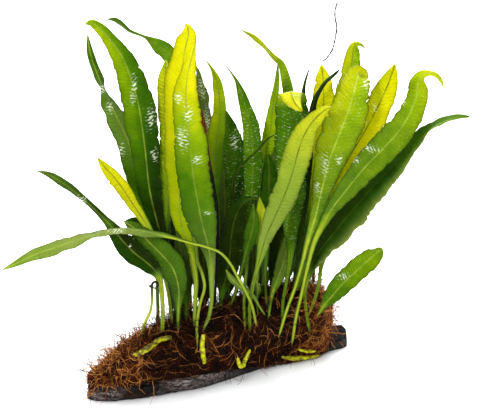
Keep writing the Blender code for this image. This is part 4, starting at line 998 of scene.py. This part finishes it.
print("the world's origin shows at", [round(float(number), 1) for number in seen_at(np.zeros(3))], "mm")

# %% One frond
DEEPEST_QUILTING = 0.3
VEINS_DRAWN = 0.6
VEINS_FADE = 1.6
# Painted glints scattered over beaded blades: how strong they are.
PAINTED_SPARKLE = 0.5
UNDERSIDE_BLOOM = 0.15
# How much darker a stalk's sides are painted: painted shade on a round stalk.
STALK_SIDE_SHADE = 0.8
# Beyond this share of the length nothing is stalk, however narrow it is.
STALK_ENDS = 0.7
STALK_FADES = 0.2
FRINGE_NARROWNESS = 3
# Painted shade along the margins: how dark it is, and how narrow.
MARGIN_SHADE = 0.7
MARGIN_NARROWNESS = 9


def build_frond(name, rows, facing, looks, seed, finish):
    """One frond in the place of its solid, with its marks for the leaf material."""
    tones, pale, rib, bead_glints, relief, wave = looks
    line = smooth_path(rows, STATION)
    rings, marks = blade_rings(line, facing, seed, relief, wave, FOLDS.get(name, TROUGH))
    blade, reach, under, hand, share = (
        marks.pop(key) for key in ("blade", "reach", "under", "hand", "share"))
    stalk = (1.0 - blade) * np.clip((STALK_ENDS - share) / STALK_FADES, 0.0, 1.0)
    stalk_tone, stalk_pale = STALKS.get(name, SHADED_STALK)
    # One half of a blade is painted lighter and the other darker: painted light and shade.
    tone = spaced(tones, share) + HALF_SHADING.get(name, 0.0) * hand * blade
    # A stalk's sides are painted darker than its middle: painted shade.
    marks["tone"] = tone * (1 - stalk) + stalk_tone * (1.0 - STALK_SIDE_SHADE * reach ** 2) * stalk
    fringe = FRINGES.get(name, 0.0) * (hand < 0) * reach ** FRINGE_NARROWNESS
    # Paleness: an underside's bloom, and on some fronds painted glare.
    bloom_and_glare = spaced(pale, share) + fringe
    marks["pale"] = np.clip(bloom_and_glare * (1 - stalk) + stalk_pale * stalk + UNDERSIDE_BLOOM * under, 0, 1)
    # The margins are painted darker: painted shade at the edge of the blade.
    marks["margin_shade"] = MARGIN_SHADE * reach ** MARGIN_NARROWNESS * blade * (1 - fringe)
    marks["rib"] = np.full_like(share, rib)
    # Painted highlights of water beads.
    marks["bead_glints"] = np.full_like(share, bead_glints ** 2)
    drawn = VEINS_DRAWN * (relief / DEEPEST_QUILTING) ** VEINS_FADE
    marks["relief"] = np.full_like(share, drawn) * (1 - stalk)
    # Painted highlights of a wet film: the listed patches, and scattered sparkle on beaded blades.
    across, up = seen_at(rings)
    patches = [np.exp(-(((across - x) / wide) ** 2 + ((up - y) / tall) ** 2))
               for x, y, wide, tall in PAINTED_GLINTS.get(name, ())]
    painted_sparkle = np.full_like(share, PAINTED_SPARKLE * bead_glints) * blade
    marks["painted_glint"] = np.maximum.reduce([painted_sparkle, *patches]) * (1 - under)
    frond = rolled(name + "_blade", rings, finish, marks)
    map_blade(frond.data)
    return frond


print("a stalk has faded into the blade at %.0f%% of the length" % (100 * STALK_ENDS))

# %% Make the fronds
slots = {part["node"]: part["material_slot"] for part in frame["record"]["subparts"]}
SEED_STEP = 1.7
BACK_SEED = 90.0
BACK_SEED_STEP = 2.3
orders = [(name, frond_rows(*numbers), LOOK, LOOKS[name], SEED_STEP * k)
          for k, (name, numbers) in enumerate(FRONDS.items())]
orders += [(name, *back_frond_rows(*numbers), BACK_LOOK, BACK_SEED + BACK_SEED_STEP * k)
           for k, (name, numbers) in enumerate(BACK_FRONDS.items())]
triangles = 0
for name, *order in orders:
    frond = build_frond(name, *order, dead if name == "dead_brown_frond" else leaf)
    dress(frond, slots[name], name)
    triangles += 2 * len(frond.data.polygons)
print("fronds:", len(orders), "triangles:", triangles)

# %% [markdown]
# ## Driftwood
# Waterlogged driftwood is nearly black, worn into long grooves along the grain, with a smoother band
# where the bark has gone. A displaced picture could give the grooves, but the outline has to be
# grooved too, so they are cut into the skin itself, deepest along the flanks.

# %% Driftwood material
# Soaked bark: black along the grain, with grey, worn streaks where the bark has gone.
wood, tree = new_material("waterlogged_driftwood")
place = add_node(tree, "TexCoord", out="Object")
# The grain lies as the wood does, and is about 1 mm across by 12 mm along.
WOOD_HEADING = math.radians(-27.0)
turned = add_node(tree, "Mapping", {
    "Vector": place, "Rotation": (0.0, 0.0, WOOD_HEADING), "Scale": (80.0, 900.0, 900.0)})
streak = add_node(tree, "TexNoise", {"Vector": turned, "Scale": 1.0, "Detail": 6.0}, "Fac")
patch = add_node(tree, "TexNoise", {"Vector": place, "Scale": 26.0, "Detail": 3.0}, "Fac")
black = add_node(tree, "ValToRGB", {0: streak}, stops=(
    (0.30, "#020202"), (0.55, "#0e0b0a"), (0.78, "#2a2522")))
grey = add_node(tree, "ValToRGB", {0: streak}, stops=(
    (0.34, "#120e0d"), (0.5, "#6a5e5a"), (0.68, "#aca29e")))
worn = add_node(tree, "Attribute", out="Fac", attribute_name="worn")
patchy = add_node(tree, "MapRange", {0: patch, 1: 0.42, 2: 0.56})
bare = add_node(tree, "Math", {0: worn, 1: patchy}, operation="MULTIPLY")
mixed = add_node(tree, "Mix", {"Factor": bare, 6: black, 7: grey}, 2, data_type="RGBA")
rough = add_node(tree, "MapRange", {0: patch, 1: 0.35, 2: 0.7, 3: 0.3, 4: 0.7})
finish_surface(tree, {"Base Color": mixed, "Roughness": rough, "IOR": 1.25}, (streak, 0.8, 0.0008))
print("driftwood nodes:", len(tree.nodes))

# %% Grooves of the bark
# Long grooves, fine ones and pits: how quickly each changes along the branch and around it, and
# how deep it is.
LONG_GROOVES = (0.035, 4.5, 1.2)
FINE_GROOVES = (0.11, 13.0, 0.55)
PITS = (0.35, 6.0, 0.5)
PITS_LANE = 9.0


def bark_noise(across, turn, along_rate, around_rate, lane=0.0):
    """Noise over the branch's round surface."""
    out, up = math.cos(turn) * around_rate, math.sin(turn) * around_rate
    return noise.noise(Vector((across * along_rate, out, up + lane)))


def groove(across, turn):
    """How deep the grooves along the grain are, from 0 to 1."""
    long = abs(bark_noise(across, turn, *LONG_GROOVES[:2])) * LONG_GROOVES[2]
    fine = abs(bark_noise(across, turn, *FINE_GROOVES[:2])) * FINE_GROOVES[2]
    pits = max(0.0, bark_noise(across, turn, *PITS[:2], PITS_LANE)) * PITS[2]
    return min(1.0, long + fine + pits)


print("a groove in the middle of the front: %.2f" % groove(0.0, math.pi))

# %% Driftwood skin
WOOD_GRAIN = 0.055
WOOD_LUMPS = 0.10
WOOD_RIDGES = 5
LUMPS_PER_MM = 0.045
RIDGE_TWIST = 0.02
FLATTENED = 0.72
FLANK_HEIGHT = 0.06
UNDERSIDE_FROM = -0.02
UNDERSIDE_TUCK = 0.16
UNDERSIDE_GROOVES = 0.3
GROOVE_DEPTH = 1.5
WOOD_STEPS = 300
WOOD_AROUND = 120
WOOD_TURNS = np.linspace(0.0, 2 * math.pi, WOOD_AROUND, endpoint=False)
# How an end rounds off: how far out each outline is, in millimetres, and its size.
ROUNDED_END = ((-0.9, 0.0), (-0.7, 0.45), (-0.3, 0.8))
# The worn band runs along the front flank, from the left end to a little past the middle.
WORN_TURN = 2.85
WORN_HALF_WIDTH = 0.26
WORN_UNTIL = 18.0
WORN_FADES = 30.0


def wood_ring(across, size=1.0):
    """One outline of the branch: a grooved dome on a flat underside."""
    centre, half, height = wood_at(across)
    ring = []
    for turn in WOOD_TURNS:
        side, rise = math.cos(turn), math.sin(turn)
        lump = noise.noise(Vector((across * LUMPS_PER_MM, side, rise + 4.0)))
        ridge = math.sin(WOOD_RIDGES * turn + across * RIDGE_TWIST)
        grow = 1.0 + WOOD_LUMPS * lump + WOOD_GRAIN * ridge
        out = math.copysign(abs(side) ** FLATTENED, side) * half * grow
        z = height * max(FLANK_HEIGHT, max(0.0, rise) ** FLATTENED) * grow
        cut = GROOVE_DEPTH * groove(across, turn) / half
        if rise < UNDERSIDE_FROM:
            z = 0.0
            out *= 1.0 - UNDERSIDE_TUCK
            cut *= UNDERSIDE_GROOVES
        keep = (1.0 - cut) * size
        ring.append((across, centre + out * keep, z * keep))
    return ring


left_end, right_end = WOOD[0][0], WOOD[-1][0]
places = [(left_end + shift, size) for shift, size in ROUNDED_END]
places += [(across, 1.0) for across in np.linspace(left_end, right_end, WOOD_STEPS)]
places += [(right_end - shift, size) for shift, size in reversed(ROUNDED_END)]
rings = np.array([wood_ring(across, size) for across, size in places])
front_flank = np.exp(-(((WOOD_TURNS[None, :] - WORN_TURN) / WORN_HALF_WIDTH) ** 2))
marks = {"worn": front_flank * np.clip((WORN_UNTIL - rings[..., 0]) / WORN_FADES, 0.0, 1.0)}
branch = dress(rolled("driftwood_skin", closed_ends(rings), wood, marks), "driftwood", "driftwood")
print("driftwood triangles:", 2 * len(branch.data.polygons))

# %% [markdown]
# ## The felt of roots
# Thousands of wiry roots cross and mat together. The solid's shape gives the body of the felt. It
# is copied, merged, cut finer and roughened, and kept nearly black, because it only shows in the
# gaps between the roots that lie on it.

# %% Felt core
FELT_MERGED = 0.02
FELT_CUTS = 2
FELT_SUNK = 0.5
FELT_ROUGHNESS = 1.3
# Lumps of the felt: how high, and how quickly they change to the millimetre.
FELT_LUMPS = ((1.3, 0.12), (1.0, 0.35), (0.5, 0.9))


def fibre_material(name, scale, detail, stops, roughness, ior, bump=None):
    """A matt finish whose colour drifts with a noise, with a bump of (strength, distance) or none."""
    made, tree = new_material(name)
    place = add_node(tree, "TexCoord", out="Object")
    drift = add_node(tree, "TexNoise", {"Vector": place, "Scale": scale, "Detail": detail}, "Fac")
    colour = add_node(tree, "ValToRGB", {0: drift}, stops=stops)
    relief = (drift, *bump) if bump else None
    finish_surface(tree, {"Base Color": colour, "Roughness": roughness, "IOR": ior}, relief)
    return made


# Matted fibres: nearly black and quite dull, because light is lost between them.
felt = fibre_material("matted_root_felt", 700.0, 5.0, (
    (0.35, "#030101"), (0.6, "#0e0502"), (0.8, "#241004")), 0.95, 1.1, (1.0, 0.001))
shape = bmesh.new()
shape.from_mesh(frame["nodes"]["root_mat"].data)
bmesh.ops.remove_doubles(shape, verts=shape.verts, dist=FELT_MERGED * MM)
bmesh.ops.subdivide_edges(shape, edges=shape.edges, cuts=FELT_CUTS, use_grid_fill=True)
for vertex in shape.verts:
    point = vertex.co / MM
    bump = sum(lump * noise.noise(point * rate) for lump, rate in FELT_LUMPS)
    vertex.co += vertex.normal * (FELT_ROUGHNESS * bump - FELT_SUNK) * MM
core = dress(finished("root_felt", shape, felt), "roots", "root_mat")
print("felt core triangles:", len(core.data.polygons))

# %% [markdown]
# ## Single roots
# A root is a wiry thread about 0.4 mm thick. Each one is walked over the felt in short steps: at
# each step it turns a little at random and is set back on the surface at its own height, so
# roots cross over and under one another. A thread of four sides is enough, because each one is
# seen from far off and there are thousands of them.

# %% Kinds of root
# Wiry roots are matt, and their colour drifts along them over a few millimetres. Each kind has its
# material, its darkest and lightest colour, how high it arches over the felt and its radius in
# millimetres, and how common it is at the places of COMMON_AT, from left to right: dry and tan at
# both ends of the felt, dark in its middle.
ROOT_KINDS = {
    "tan": ("dry_tan_root", "#6c3006", "#e09a4c", 1.8, 0.12, (.30, .20, .06, .05, .20, .30)),
    "red": ("red_brown_root", "#2a0a02", "#662606", 1.4, 0.14, (.26, .26, .08, .09, .32, .36)),
    "umber": ("umber_root", "#100401", "#301003", 1.1, 0.16, (.16, .20, .20, .20, .20, .16)),
    "dark": ("dark_wiry_root", "#050201", "#1a0a03", 0.9, 0.20, (.12, .16, .30, .30, .14, .10)),
    "black": ("blackened_root", "#020100", "#0c0502", 0.7, 0.24, (.12, .16, .36, .36, .12, .08)),
}
COMMON_AT = (-84, -62, -40, 44, 60, 72)
root_finishes = {}
for kind in reversed(ROOT_KINDS):
    material_name, darkest, lightest = ROOT_KINDS[kind][:3]
    root_finishes[kind] = fibre_material(
        material_name, 180.0, 3.0, ((0.32, darkest), (0.68, lightest)), 0.5, 1.15)
print("kinds of root:", len(root_finishes))

# %% From paths to threads
THREAD_TAPERS = 0.6


def threads(name, paths, finish):
    """Thin closed tubes along paths; each path is points in millimetres and a radius."""
    curve = bpy.data.curves.new(name, "CURVE")
    curve.dimensions = "3D"
    curve.bevel_depth = MM
    curve.bevel_resolution = 0
    curve.use_fill_caps = True
    for points, radius in paths:
        spline = curve.splines.new("POLY")
        spline.points.add(len(points) - 1)
        taper = radius * (1.0 - THREAD_TAPERS * np.linspace(0.0, 1.0, len(points)) ** 2)
        places = np.column_stack((np.array(points) * MM, np.ones(len(points))))
        spline.points.foreach_set("co", places.ravel())
        spline.points.foreach_set("radius", taper)
    holder = placed(name, curve)
    bpy.context.view_layer.update()
    mesh = bpy.data.meshes.new_from_object(holder.evaluated_get(bpy.context.evaluated_depsgraph_get()))
    bpy.data.objects.remove(holder, do_unlink=True)
    mesh.name = name
    mesh.shade_smooth()
    mesh.materials.append(finish)
    thing = placed(name, mesh)
    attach(thing, "root")
    return thing


print("a thread ends at %.0f%% of its thickness" % (100 * (1 - THREAD_TAPERS)))

# %% Where roots start
ROOT_SEED = 11
rng = np.random.default_rng(ROOT_SEED)
MAT_STARTS = 19000
WOOD_STARTS = 1500
# The felt's channel under the wood doesn't show, so roots start only where the skin faces out: a
# probe that stands off the skin has to be free.
STARTS_ABOVE = 2.0
PROBE = 1.5
PROBE_FREE = 1.2


def skin_points(node, count):
    """Points spread evenly over a node's outside, with the way the skin faces there."""
    mesh = frame["nodes"][node].data
    places = np.array([vertex.co / MM for vertex in mesh.vertices], dtype=float)
    corners = places[np.array([face.vertices[:] for face in mesh.polygons])]
    cross = np.cross(corners[:, 1] - corners[:, 0], corners[:, 2] - corners[:, 0])
    area = np.linalg.norm(cross, axis=1)
    picked = rng.choice(len(area), count, p=area / area.sum())
    a, b = rng.random((2, count))
    over = a + b > 1
    a, b = np.where(over, 1 - a, a), np.where(over, 1 - b, b)
    tri = corners[picked]
    spots = tri[:, 0] + (tri[:, 1] - tri[:, 0]) * a[:, None] + (tri[:, 2] - tri[:, 0]) * b[:, None]
    return spots, cross[picked] / area[picked][:, None]


spots, facings = skin_points("root_mat", MAT_STARTS)
outward = [k for k in range(len(spots)) if spots[k][2] > STARTS_ABOVE and ground.find_nearest(
    Vector(spots[k] + facings[k] * PROBE))[3] > PROBE_FREE]
print("places for roots:", len(outward))

# %% How roots grow
MAT_FACES = len(frame["nodes"]["root_mat"].data.polygons)
FLOOR_GAP = 0.4
CREEP_STEPS = 8
LOWEST = 0.1
STANDING_STEPS = 7
# A standing root's first way is partly straight out and partly astray, and then it sways and droops.
STRAIGHT_OUT = 0.7
ASTRAY = 0.6
SWAY = 0.28
DROOP = 0.05


def creeping(start, length, height, wander, over_wood=False):
    """A root that creeps along, rising to a height in its middle, and stops where the felt does."""
    spot = Vector(start)
    heading = Vector(rng.normal(size=3))
    points = []
    for k in range(CREEP_STEPS):
        near, normal, face, _ = ground.find_nearest(spot)
        if face >= MAT_FACES and not over_wood and len(points) > 1:
            break
        heading = heading - normal * heading.dot(normal)
        heading.normalize()
        point = near + normal * (LOWEST + height * math.sin(math.pi * k / (CREEP_STEPS - 1)))
        point.z = max(point.z, FLOOR_GAP)
        points.append(point)
        heading = heading + Vector(rng.normal(size=3)) * wander
        spot = near + heading.normalized() * (length / (CREEP_STEPS - 1))
    return points


def standing(start, normal, length):
    """A root that leaves the felt and ends in the air."""
    spot = Vector(start)
    heading = Vector(normal) * STRAIGHT_OUT + Vector(rng.normal(size=3)) * ASTRAY
    points = []
    for k in range(STANDING_STEPS):
        points.append(spot.copy())
        heading = heading.normalized() + Vector(rng.normal(size=3)) * SWAY + Vector((0, 0, -DROOP))
        spot = spot + heading.normalized() * (length / (STANDING_STEPS - 1))
        spot.z = max(spot.z, FLOOR_GAP)
    return points


print("no root comes closer to the floor than", FLOOR_GAP, "mm")

# %% Lay the roots on the felt
# Shares that change along the felt: the places across, and the share at each.
LOOSE_AT_ENDS = ((-86, -60, -40, 50, 66, 75), (0.26, 0.18, 0.04, 0.04, 0.16, 0.24))
LOOSE_ON_TOP = 0.5
LOOSE_ABOVE = 8.0
LOOSE_LENGTHS = (4.0, 16.0)
LOOSE_LONGER = ((-84, -50, -30, 50, 70), (1.7, 1.1, 1.4, 1.4, 1.0))
LOOSE_RADII = (0.14, 0.2)
# Of the loose roots this far out, this share is dry, half of them tan and half red.
DRY_BEYOND = 45
DRY_SHARE = 0.7
TUFTS = 1.2
TUFTS_PER_MM = 0.11
CREEP_LENGTHS = (8.0, 24.0)
CREEP_WANDERS = 0.35
CREEP_HEIGHTS = (0.1, 1.3)
CREEP_RADII = (0.7, 1.2)


def kind_of_root(across):
    """A kind drawn by how common each one is here."""
    shares = np.array([np.interp(across, COMMON_AT, numbers[-1]) for numbers in ROOT_KINDS.values()])
    return list(ROOT_KINDS)[int(np.searchsorted(np.cumsum(shares / shares.sum()), rng.random()))]


def loose_share(across, facing_up):
    """More roots stand out at both ends of the felt, and on top, between the stalks."""
    return float(np.interp(across, *LOOSE_AT_ENDS)) + LOOSE_ON_TOP * max(0.0, facing_up) ** 2


paths = {kind: [] for kind in reversed(ROOT_KINDS)}
for k in outward:
    across = spots[k][0]
    kind = kind_of_root(across)
    if spots[k][2] > LOOSE_ABOVE and rng.random() < loose_share(across, facings[k][2]):
        longer = float(np.interp(across, *LOOSE_LONGER))
        points = standing(spots[k], facings[k], rng.uniform(*LOOSE_LENGTHS) * longer)
        radius = rng.uniform(*LOOSE_RADII)
        if abs(across) > DRY_BEYOND and rng.random() < DRY_SHARE:
            kind = "tan" if rng.random() < 0.5 else "red"
    else:
        arch, thickness = ROOT_KINDS[kind][3:5]
        tuft = 1.0 + TUFTS * noise.noise(Vector(spots[k]) * TUFTS_PER_MM)
        height = arch * rng.uniform(*CREEP_HEIGHTS) * tuft
        points = creeping(spots[k], rng.uniform(*CREEP_LENGTHS), height, CREEP_WANDERS)
        radius = thickness * rng.uniform(*CREEP_RADII)
    paths[kind].append((points, radius))
print("roots on the felt:", sum(len(found) for found in paths.values()))

# %% Roots over the wood
# They run down over the wood at its left end, and a few across its front.
OVER_WOOD = ((-84, -60, -45, -20, 83), (0.8, 0.7, 0.25, 0.05, 0.02))
OVER_WOOD_KINDS = ("black", "dark", "umber", "umber", "red")
OVER_WOOD_LENGTHS = (8.0, 20.0)
OVER_WOOD_HEIGHTS = (0.2, 1.2)
OVER_WOOD_WANDERS = 0.2
LONG_ROOT_RADIUS = 0.17
ABOVE_THE_FLOOR = 1.0
TO_THE_BACK = 0.3
for spot, facing in zip(*skin_points("driftwood", WOOD_STARTS)):
    in_sight = spot[2] > ABOVE_THE_FLOOR and facing[1] < TO_THE_BACK
    if in_sight and rng.random() < np.interp(spot[0], *OVER_WOOD):
        kind = OVER_WOOD_KINDS[int(rng.integers(len(OVER_WOOD_KINDS)))]
        length = rng.uniform(*OVER_WOOD_LENGTHS)
        height = rng.uniform(*OVER_WOOD_HEIGHTS)
        line = creeping(spot, length, height, OVER_WOOD_WANDERS, over_wood=True)
        paths[kind].append((line, LONG_ROOT_RADIUS))
print("with those over the wood:", sum(len(found) for found in paths.values()))

# %% Long loose roots
# As they are seen: a path of (across, up), laid at the depth of the felt or the wood there.
WISP_STEP = 1.5
WISPS = (
    ((-80, -12), (-84, -14), (-88.5, -13.8), (-91.5, -12.6), (-94.3, -11.0)),
    ((-84, -14.5), (-88, -16.2), (-90.5, -17.8), (-92, -19.4)),
    ((-84, -14.2), (-87.5, -13), (-89.5, -10.5), (-89.8, -8.0)),
    ((-80, 1), (-84, 1.4), (-88, 1.2), (-91.5, 2.2)),
    ((-77, 6), (-79, 9), (-81.5, 12), (-83.2, 14)),
    ((-65, 18), (-67, 20.5), (-68.8, 23), (-70.2, 26.5)),
    ((-60, 22), (-60, 24.5), (-59.3, 27), (-58.8, 29.5)),
    ((-72, 10), (-74.5, 13), (-76, 15)),
    ((74, 33), (76, 35), (76.5, 37.5), (78.5, 39.5), (80.6, 41.5)),
    ((72, 26), (75.5, 25.5), (79, 24.8), (83.5, 26)),
    ((76, 20), (78.5, 17.5), (80, 14.5)),
    ((70, 47), (71, 52), (71, 58.5), (74.5, 64), (78, 68), (76, 71.5), (74, 76)),
)
for wisp in WISPS:
    hit, _ = on_mat(*wisp[0], ground)
    depth = hit.y if hit else wood_at(wisp[0][0])[0]
    rows = [(*seen(*place, depth), 0.0, 0.0) for place in wisp]
    line = smooth_path(rows, WISP_STEP)[:, 1:4]
    line[:, 2] = np.maximum(line[:, 2], FLOOR_GAP)
    paths["tan"].append((line, LONG_ROOT_RADIUS))
print("long loose roots:", len(WISPS))

# %% Roots as pieces
# A piece holds at most this many roots, so that it stays light enough to handle.
ROOTS_IN_A_PIECE = 3000
for kind, found in paths.items():
    for first in range(0, len(found), ROOTS_IN_A_PIECE):
        piece_name = "roots_%s_%d" % (kind, 1 + first // ROOTS_IN_A_PIECE)
        made = threads(piece_name, found[first : first + ROOTS_IN_A_PIECE], root_finishes[kind])
        print(made.name, 2 * len(made.data.polygons), "triangles")

# %% [markdown]
# ## Rhizomes
# A rhizome is a green creeping stem with brown scales and small knobs where old stalks stood. It
# could be a plain tube, but its knobs are what tell it from a root, so the radius swells and pinches
# along it.

# %% Rhizome material
# Waxy green skin over soft tissue: a little light goes in and comes out again beside where it fell.
stem, tree = new_material("young_rhizome")
place = add_node(tree, "TexCoord", out="Object")
scales = add_node(tree, "TexNoise", {"Vector": place, "Scale": 420.0, "Detail": 4.0}, "Fac")
youth = add_node(tree, "Attribute", out="Fac", attribute_name="youth")
shifted = add_node(tree, "Math", {0: scales, 1: youth}, operation="ADD")
colour = add_node(tree, "ValToRGB", {0: shifted}, stops=(
    (0.30, "#2a2003"), (0.45, "#6a6208"), (0.6, "#a4a40a"), (0.8, "#ccd010")))
finish_surface(tree, {
    "Base Color": colour, "Roughness": 0.38, "IOR": 1.3, "Subsurface Weight": 0.15,
    "Subsurface Scale": 0.002}, (scales, 0.6, 0.0005))
print("rhizome nodes:", len(tree.nodes))

# %% Stems
STEM_AROUND = 16
STEM_STEP = 0.45
# How quickly the knobs change along a stem and around it, and how much finer the small ones are.
KNOBS_ALONG = 0.55
KNOBS_AROUND = 0.9
SMALL_KNOBS = 3.1


def stem_rings(points, radius, swells, knobs, seed):
    """Round outlines along points in millimetres, which swell and pinch, knobbed by this share."""
    radii = radius * spaced(swells, np.linspace(0.0, 1.0, len(points)))
    line = smooth_path([(*point, thick, 0.0) for point, thick in zip(points, radii)], STEM_STEP)
    side, back = carried_frame(line[:, 1:4], LOOK, line[:, 5])
    turns = np.linspace(0.0, 2 * np.pi, STEM_AROUND, endpoint=False)
    rings = []
    for k, (along, x, y, z, thick, _) in enumerate(line):
        swell = []
        for turn in turns:
            around = (math.cos(turn) * KNOBS_AROUND + seed, math.sin(turn) * KNOBS_AROUND)
            where = Vector((along * KNOBS_ALONG, *around))
            small = 0.5 * knobs * noise.noise(where * SMALL_KNOBS)
            swell.append(thick * (1.0 + knobs * noise.noise(where) + small))
        swell = np.array(swell)[:, None]
        rings.append(np.array((x, y, z)) + swell * (
            np.cos(turns)[:, None] * side[k] + np.sin(turns)[:, None] * back[k]))
    return closed_ends(np.array(rings))


print("a stem has", STEM_AROUND, "points around")

# %% Rhizomes
# Radius, swellings, how young it is, and the path: young ones are a clean bright green, old ones
# brown with scales.
RHIZOMES = {
    "rhizome_left": (1.7, (0.7, 1.1, 1.0, 0.8), -0.02, (
        (-58.5, 9.5), (-55, 11), (-50.5, 13.3), (-46, 16), (-41.5, 19), (-37, 20.6), (-32.5, 21.3))),
    "rhizome_stub": (1.5, (0.9, 1.0, 1.1, 0.7), 0.1, (
        (-13, 24), (-13.6, 20), (-13.6, 15.5), (-13, 10), (-12.4, 6))),
    "rhizome_tip": (1.25, (0.6, 1.2, 1.2, 1.1, 0.5), 0.16, (
        (9, 10), (9.8, 6.8), (10.8, 4.4), (12.2, 4.8), (13.4, 7.5), (15.2, 11.5), (17, 15.5))),
    "rhizome_right": (1.35, (0.5, 1.0, 1.2, 1.0, 0.8, 0.5), 0.06, (
        (37.5, 10.6), (42, 10), (45.5, 9.6), (49.4, 9.8), (54, 10), (58.5, 10.6), (62.5, 11.4))),
    "rhizome_upper_right": (1.0, (0.6, 1.0, 1.0, 0.6), 0.1, (
        (48.8, 15.2), (52.6, 14.4), (56.5, 13.8), (60, 14.3))),
}
RHIZOME_KNOBS = 0.35
for k, (name, (radius, swells, young, path)) in enumerate(RHIZOMES.items()):
    points = []
    for across, up in path:
        hit, normal = on_mat(across, up)
        points.append(clear_of_mat(hit + normal * radius, radius + CLEARANCE + FACET_ROOM))
    rings = stem_rings(points, radius, swells, RHIZOME_KNOBS, 5.0 * k)
    marks = {"youth": np.full(rings.shape[:2], young)}
    dress(rolled(name + "_stem", rings, stem, marks), "rhizome", name)
print("rhizomes:", len(RHIZOMES))

# %% [markdown]
# ## Fiddleheads and a dried root
# A new fern frond starts rolled up in a crook. It is a stem that curls on itself, so the
# same round outlines run along a spiral. The dried root at the back is the thinnest piece of all.

# %% Fiddlehead material
# Downy young tissue: pale green at the foot, and nearly black where the tip is rolled up.
GREEN_UP_TO = 0.045
BLACK_FROM = 0.080
crook, tree = new_material("rolled_young_frond")
place = add_node(tree, "TexCoord", out="Object")
height = add_node(tree, "SeparateXYZ", {0: place}, "Z")
ripe = add_node(tree, "MapRange", {0: height, 1: GREEN_UP_TO, 2: BLACK_FROM})
colour = add_node(tree, "ValToRGB", {0: ripe}, stops=(
    (0.0, "#a8b43c"), (0.6, "#7c8c1e"), (0.82, "#3c4a0e"), (0.95, "#0a0c06")))
fuzz = add_node(tree, "TexNoise", {"Vector": place, "Scale": 900.0, "Detail": 3.0}, "Fac")
finish_surface(tree, {"Base Color": colour, "Roughness": 0.4, "IOR": 1.25}, (fuzz, 0.4, 0.0003))
print("fiddlehead nodes:", len(tree.nodes))

# %% Fiddleheads
STEM_RADIUS = 0.85
SMALL_RADIUS = 0.6
CURL_CENTRE = (-43.2, 56.6)
CURL_START = 2.3
CURL_END = 1.3
CURL_FROM = math.radians(190.0)
CURL_TURN = math.radians(300.0)
CURL_STEPS = 11
FOOT_SUNK = 2.0
FIDDLEHEAD_DEPTH = -43.0
SMALL_DEPTH = -41.0
FIDDLEHEAD_KNOBS = 0.12
FIDDLEHEAD_STEM = ((-52.4, 24.3), (-51, 29), (-49.2, 34), (-46.6, 39.5), (-45.6, 46), (-45.6, 52))
SMALL_FIDDLEHEAD = ((-41.6, 53.2), (-44, 54.6), (-46, 55.4), (-47.5, 56.2))

foot, facing = on_mat(*FIDDLEHEAD_STEM[0])
depths = np.linspace(foot.y, FIDDLEHEAD_DEPTH, len(FIDDLEHEAD_STEM))
points = [foot - facing * FOOT_SUNK]
points += [seen(*place, depth) for place, depth in zip(FIDDLEHEAD_STEM[1:], depths[1:])]
for share in (k / (CURL_STEPS - 1) for k in range(CURL_STEPS)):
    radius = CURL_START + (CURL_END - CURL_START) * share
    angle = CURL_FROM - CURL_TURN * share
    across = CURL_CENTRE[0] + radius * math.cos(angle)
    up = CURL_CENTRE[1] + radius * math.sin(angle)
    points.append(seen(across, up, FIDDLEHEAD_DEPTH))
small_points = [seen(*place, SMALL_DEPTH) for place in SMALL_FIDDLEHEAD]
for node, path, radius, swells, seed in (
        ("fiddlehead", points, STEM_RADIUS, (1.3, 1.1, 1.0, 0.9, 0.8, 0.6), 3.0),
        ("fiddlehead_small", small_points, SMALL_RADIUS, (0.8, 0.8, 1.2, 2.2), 4.0)):
    piece = rolled(node + "_crook", stem_rings(path, radius, swells, FIDDLEHEAD_KNOBS, seed), crook)
    dress(piece, "fiddlehead", node)
    print(node, "triangles:", 2 * len(piece.data.polygons))

# %% Dried root
# A dead root that has dried out: dull, and grey green where its skin is left.
dry = fibre_material(
    "dried_root_thread", 220.0, 3.0, ((0.4, "#050503"), (0.66, "#343820")), 0.7, 1.2)
FILAMENT_DEPTH = 44.0
FILAMENT_RADIUS = 0.42
FILAMENT_KNOBS = 0.9
FILAMENT = ((65.2, 201.6), (67.5, 203.5), (70, 206.5), (72, 210.5), (73.6, 217), (74.6, 224),
            (73.6, 230), (73.6, 235), (75, 240.5))
points = [seen(*place, FILAMENT_DEPTH) for place in FILAMENT]
rings = stem_rings(points, FILAMENT_RADIUS, (1, 1), FILAMENT_KNOBS, 7.0)
filament = dress(rolled("dried_root_thread", rings, dry), "dry_root", "dried_root")
print("dried root triangles:", 2 * len(filament.data.polygons))
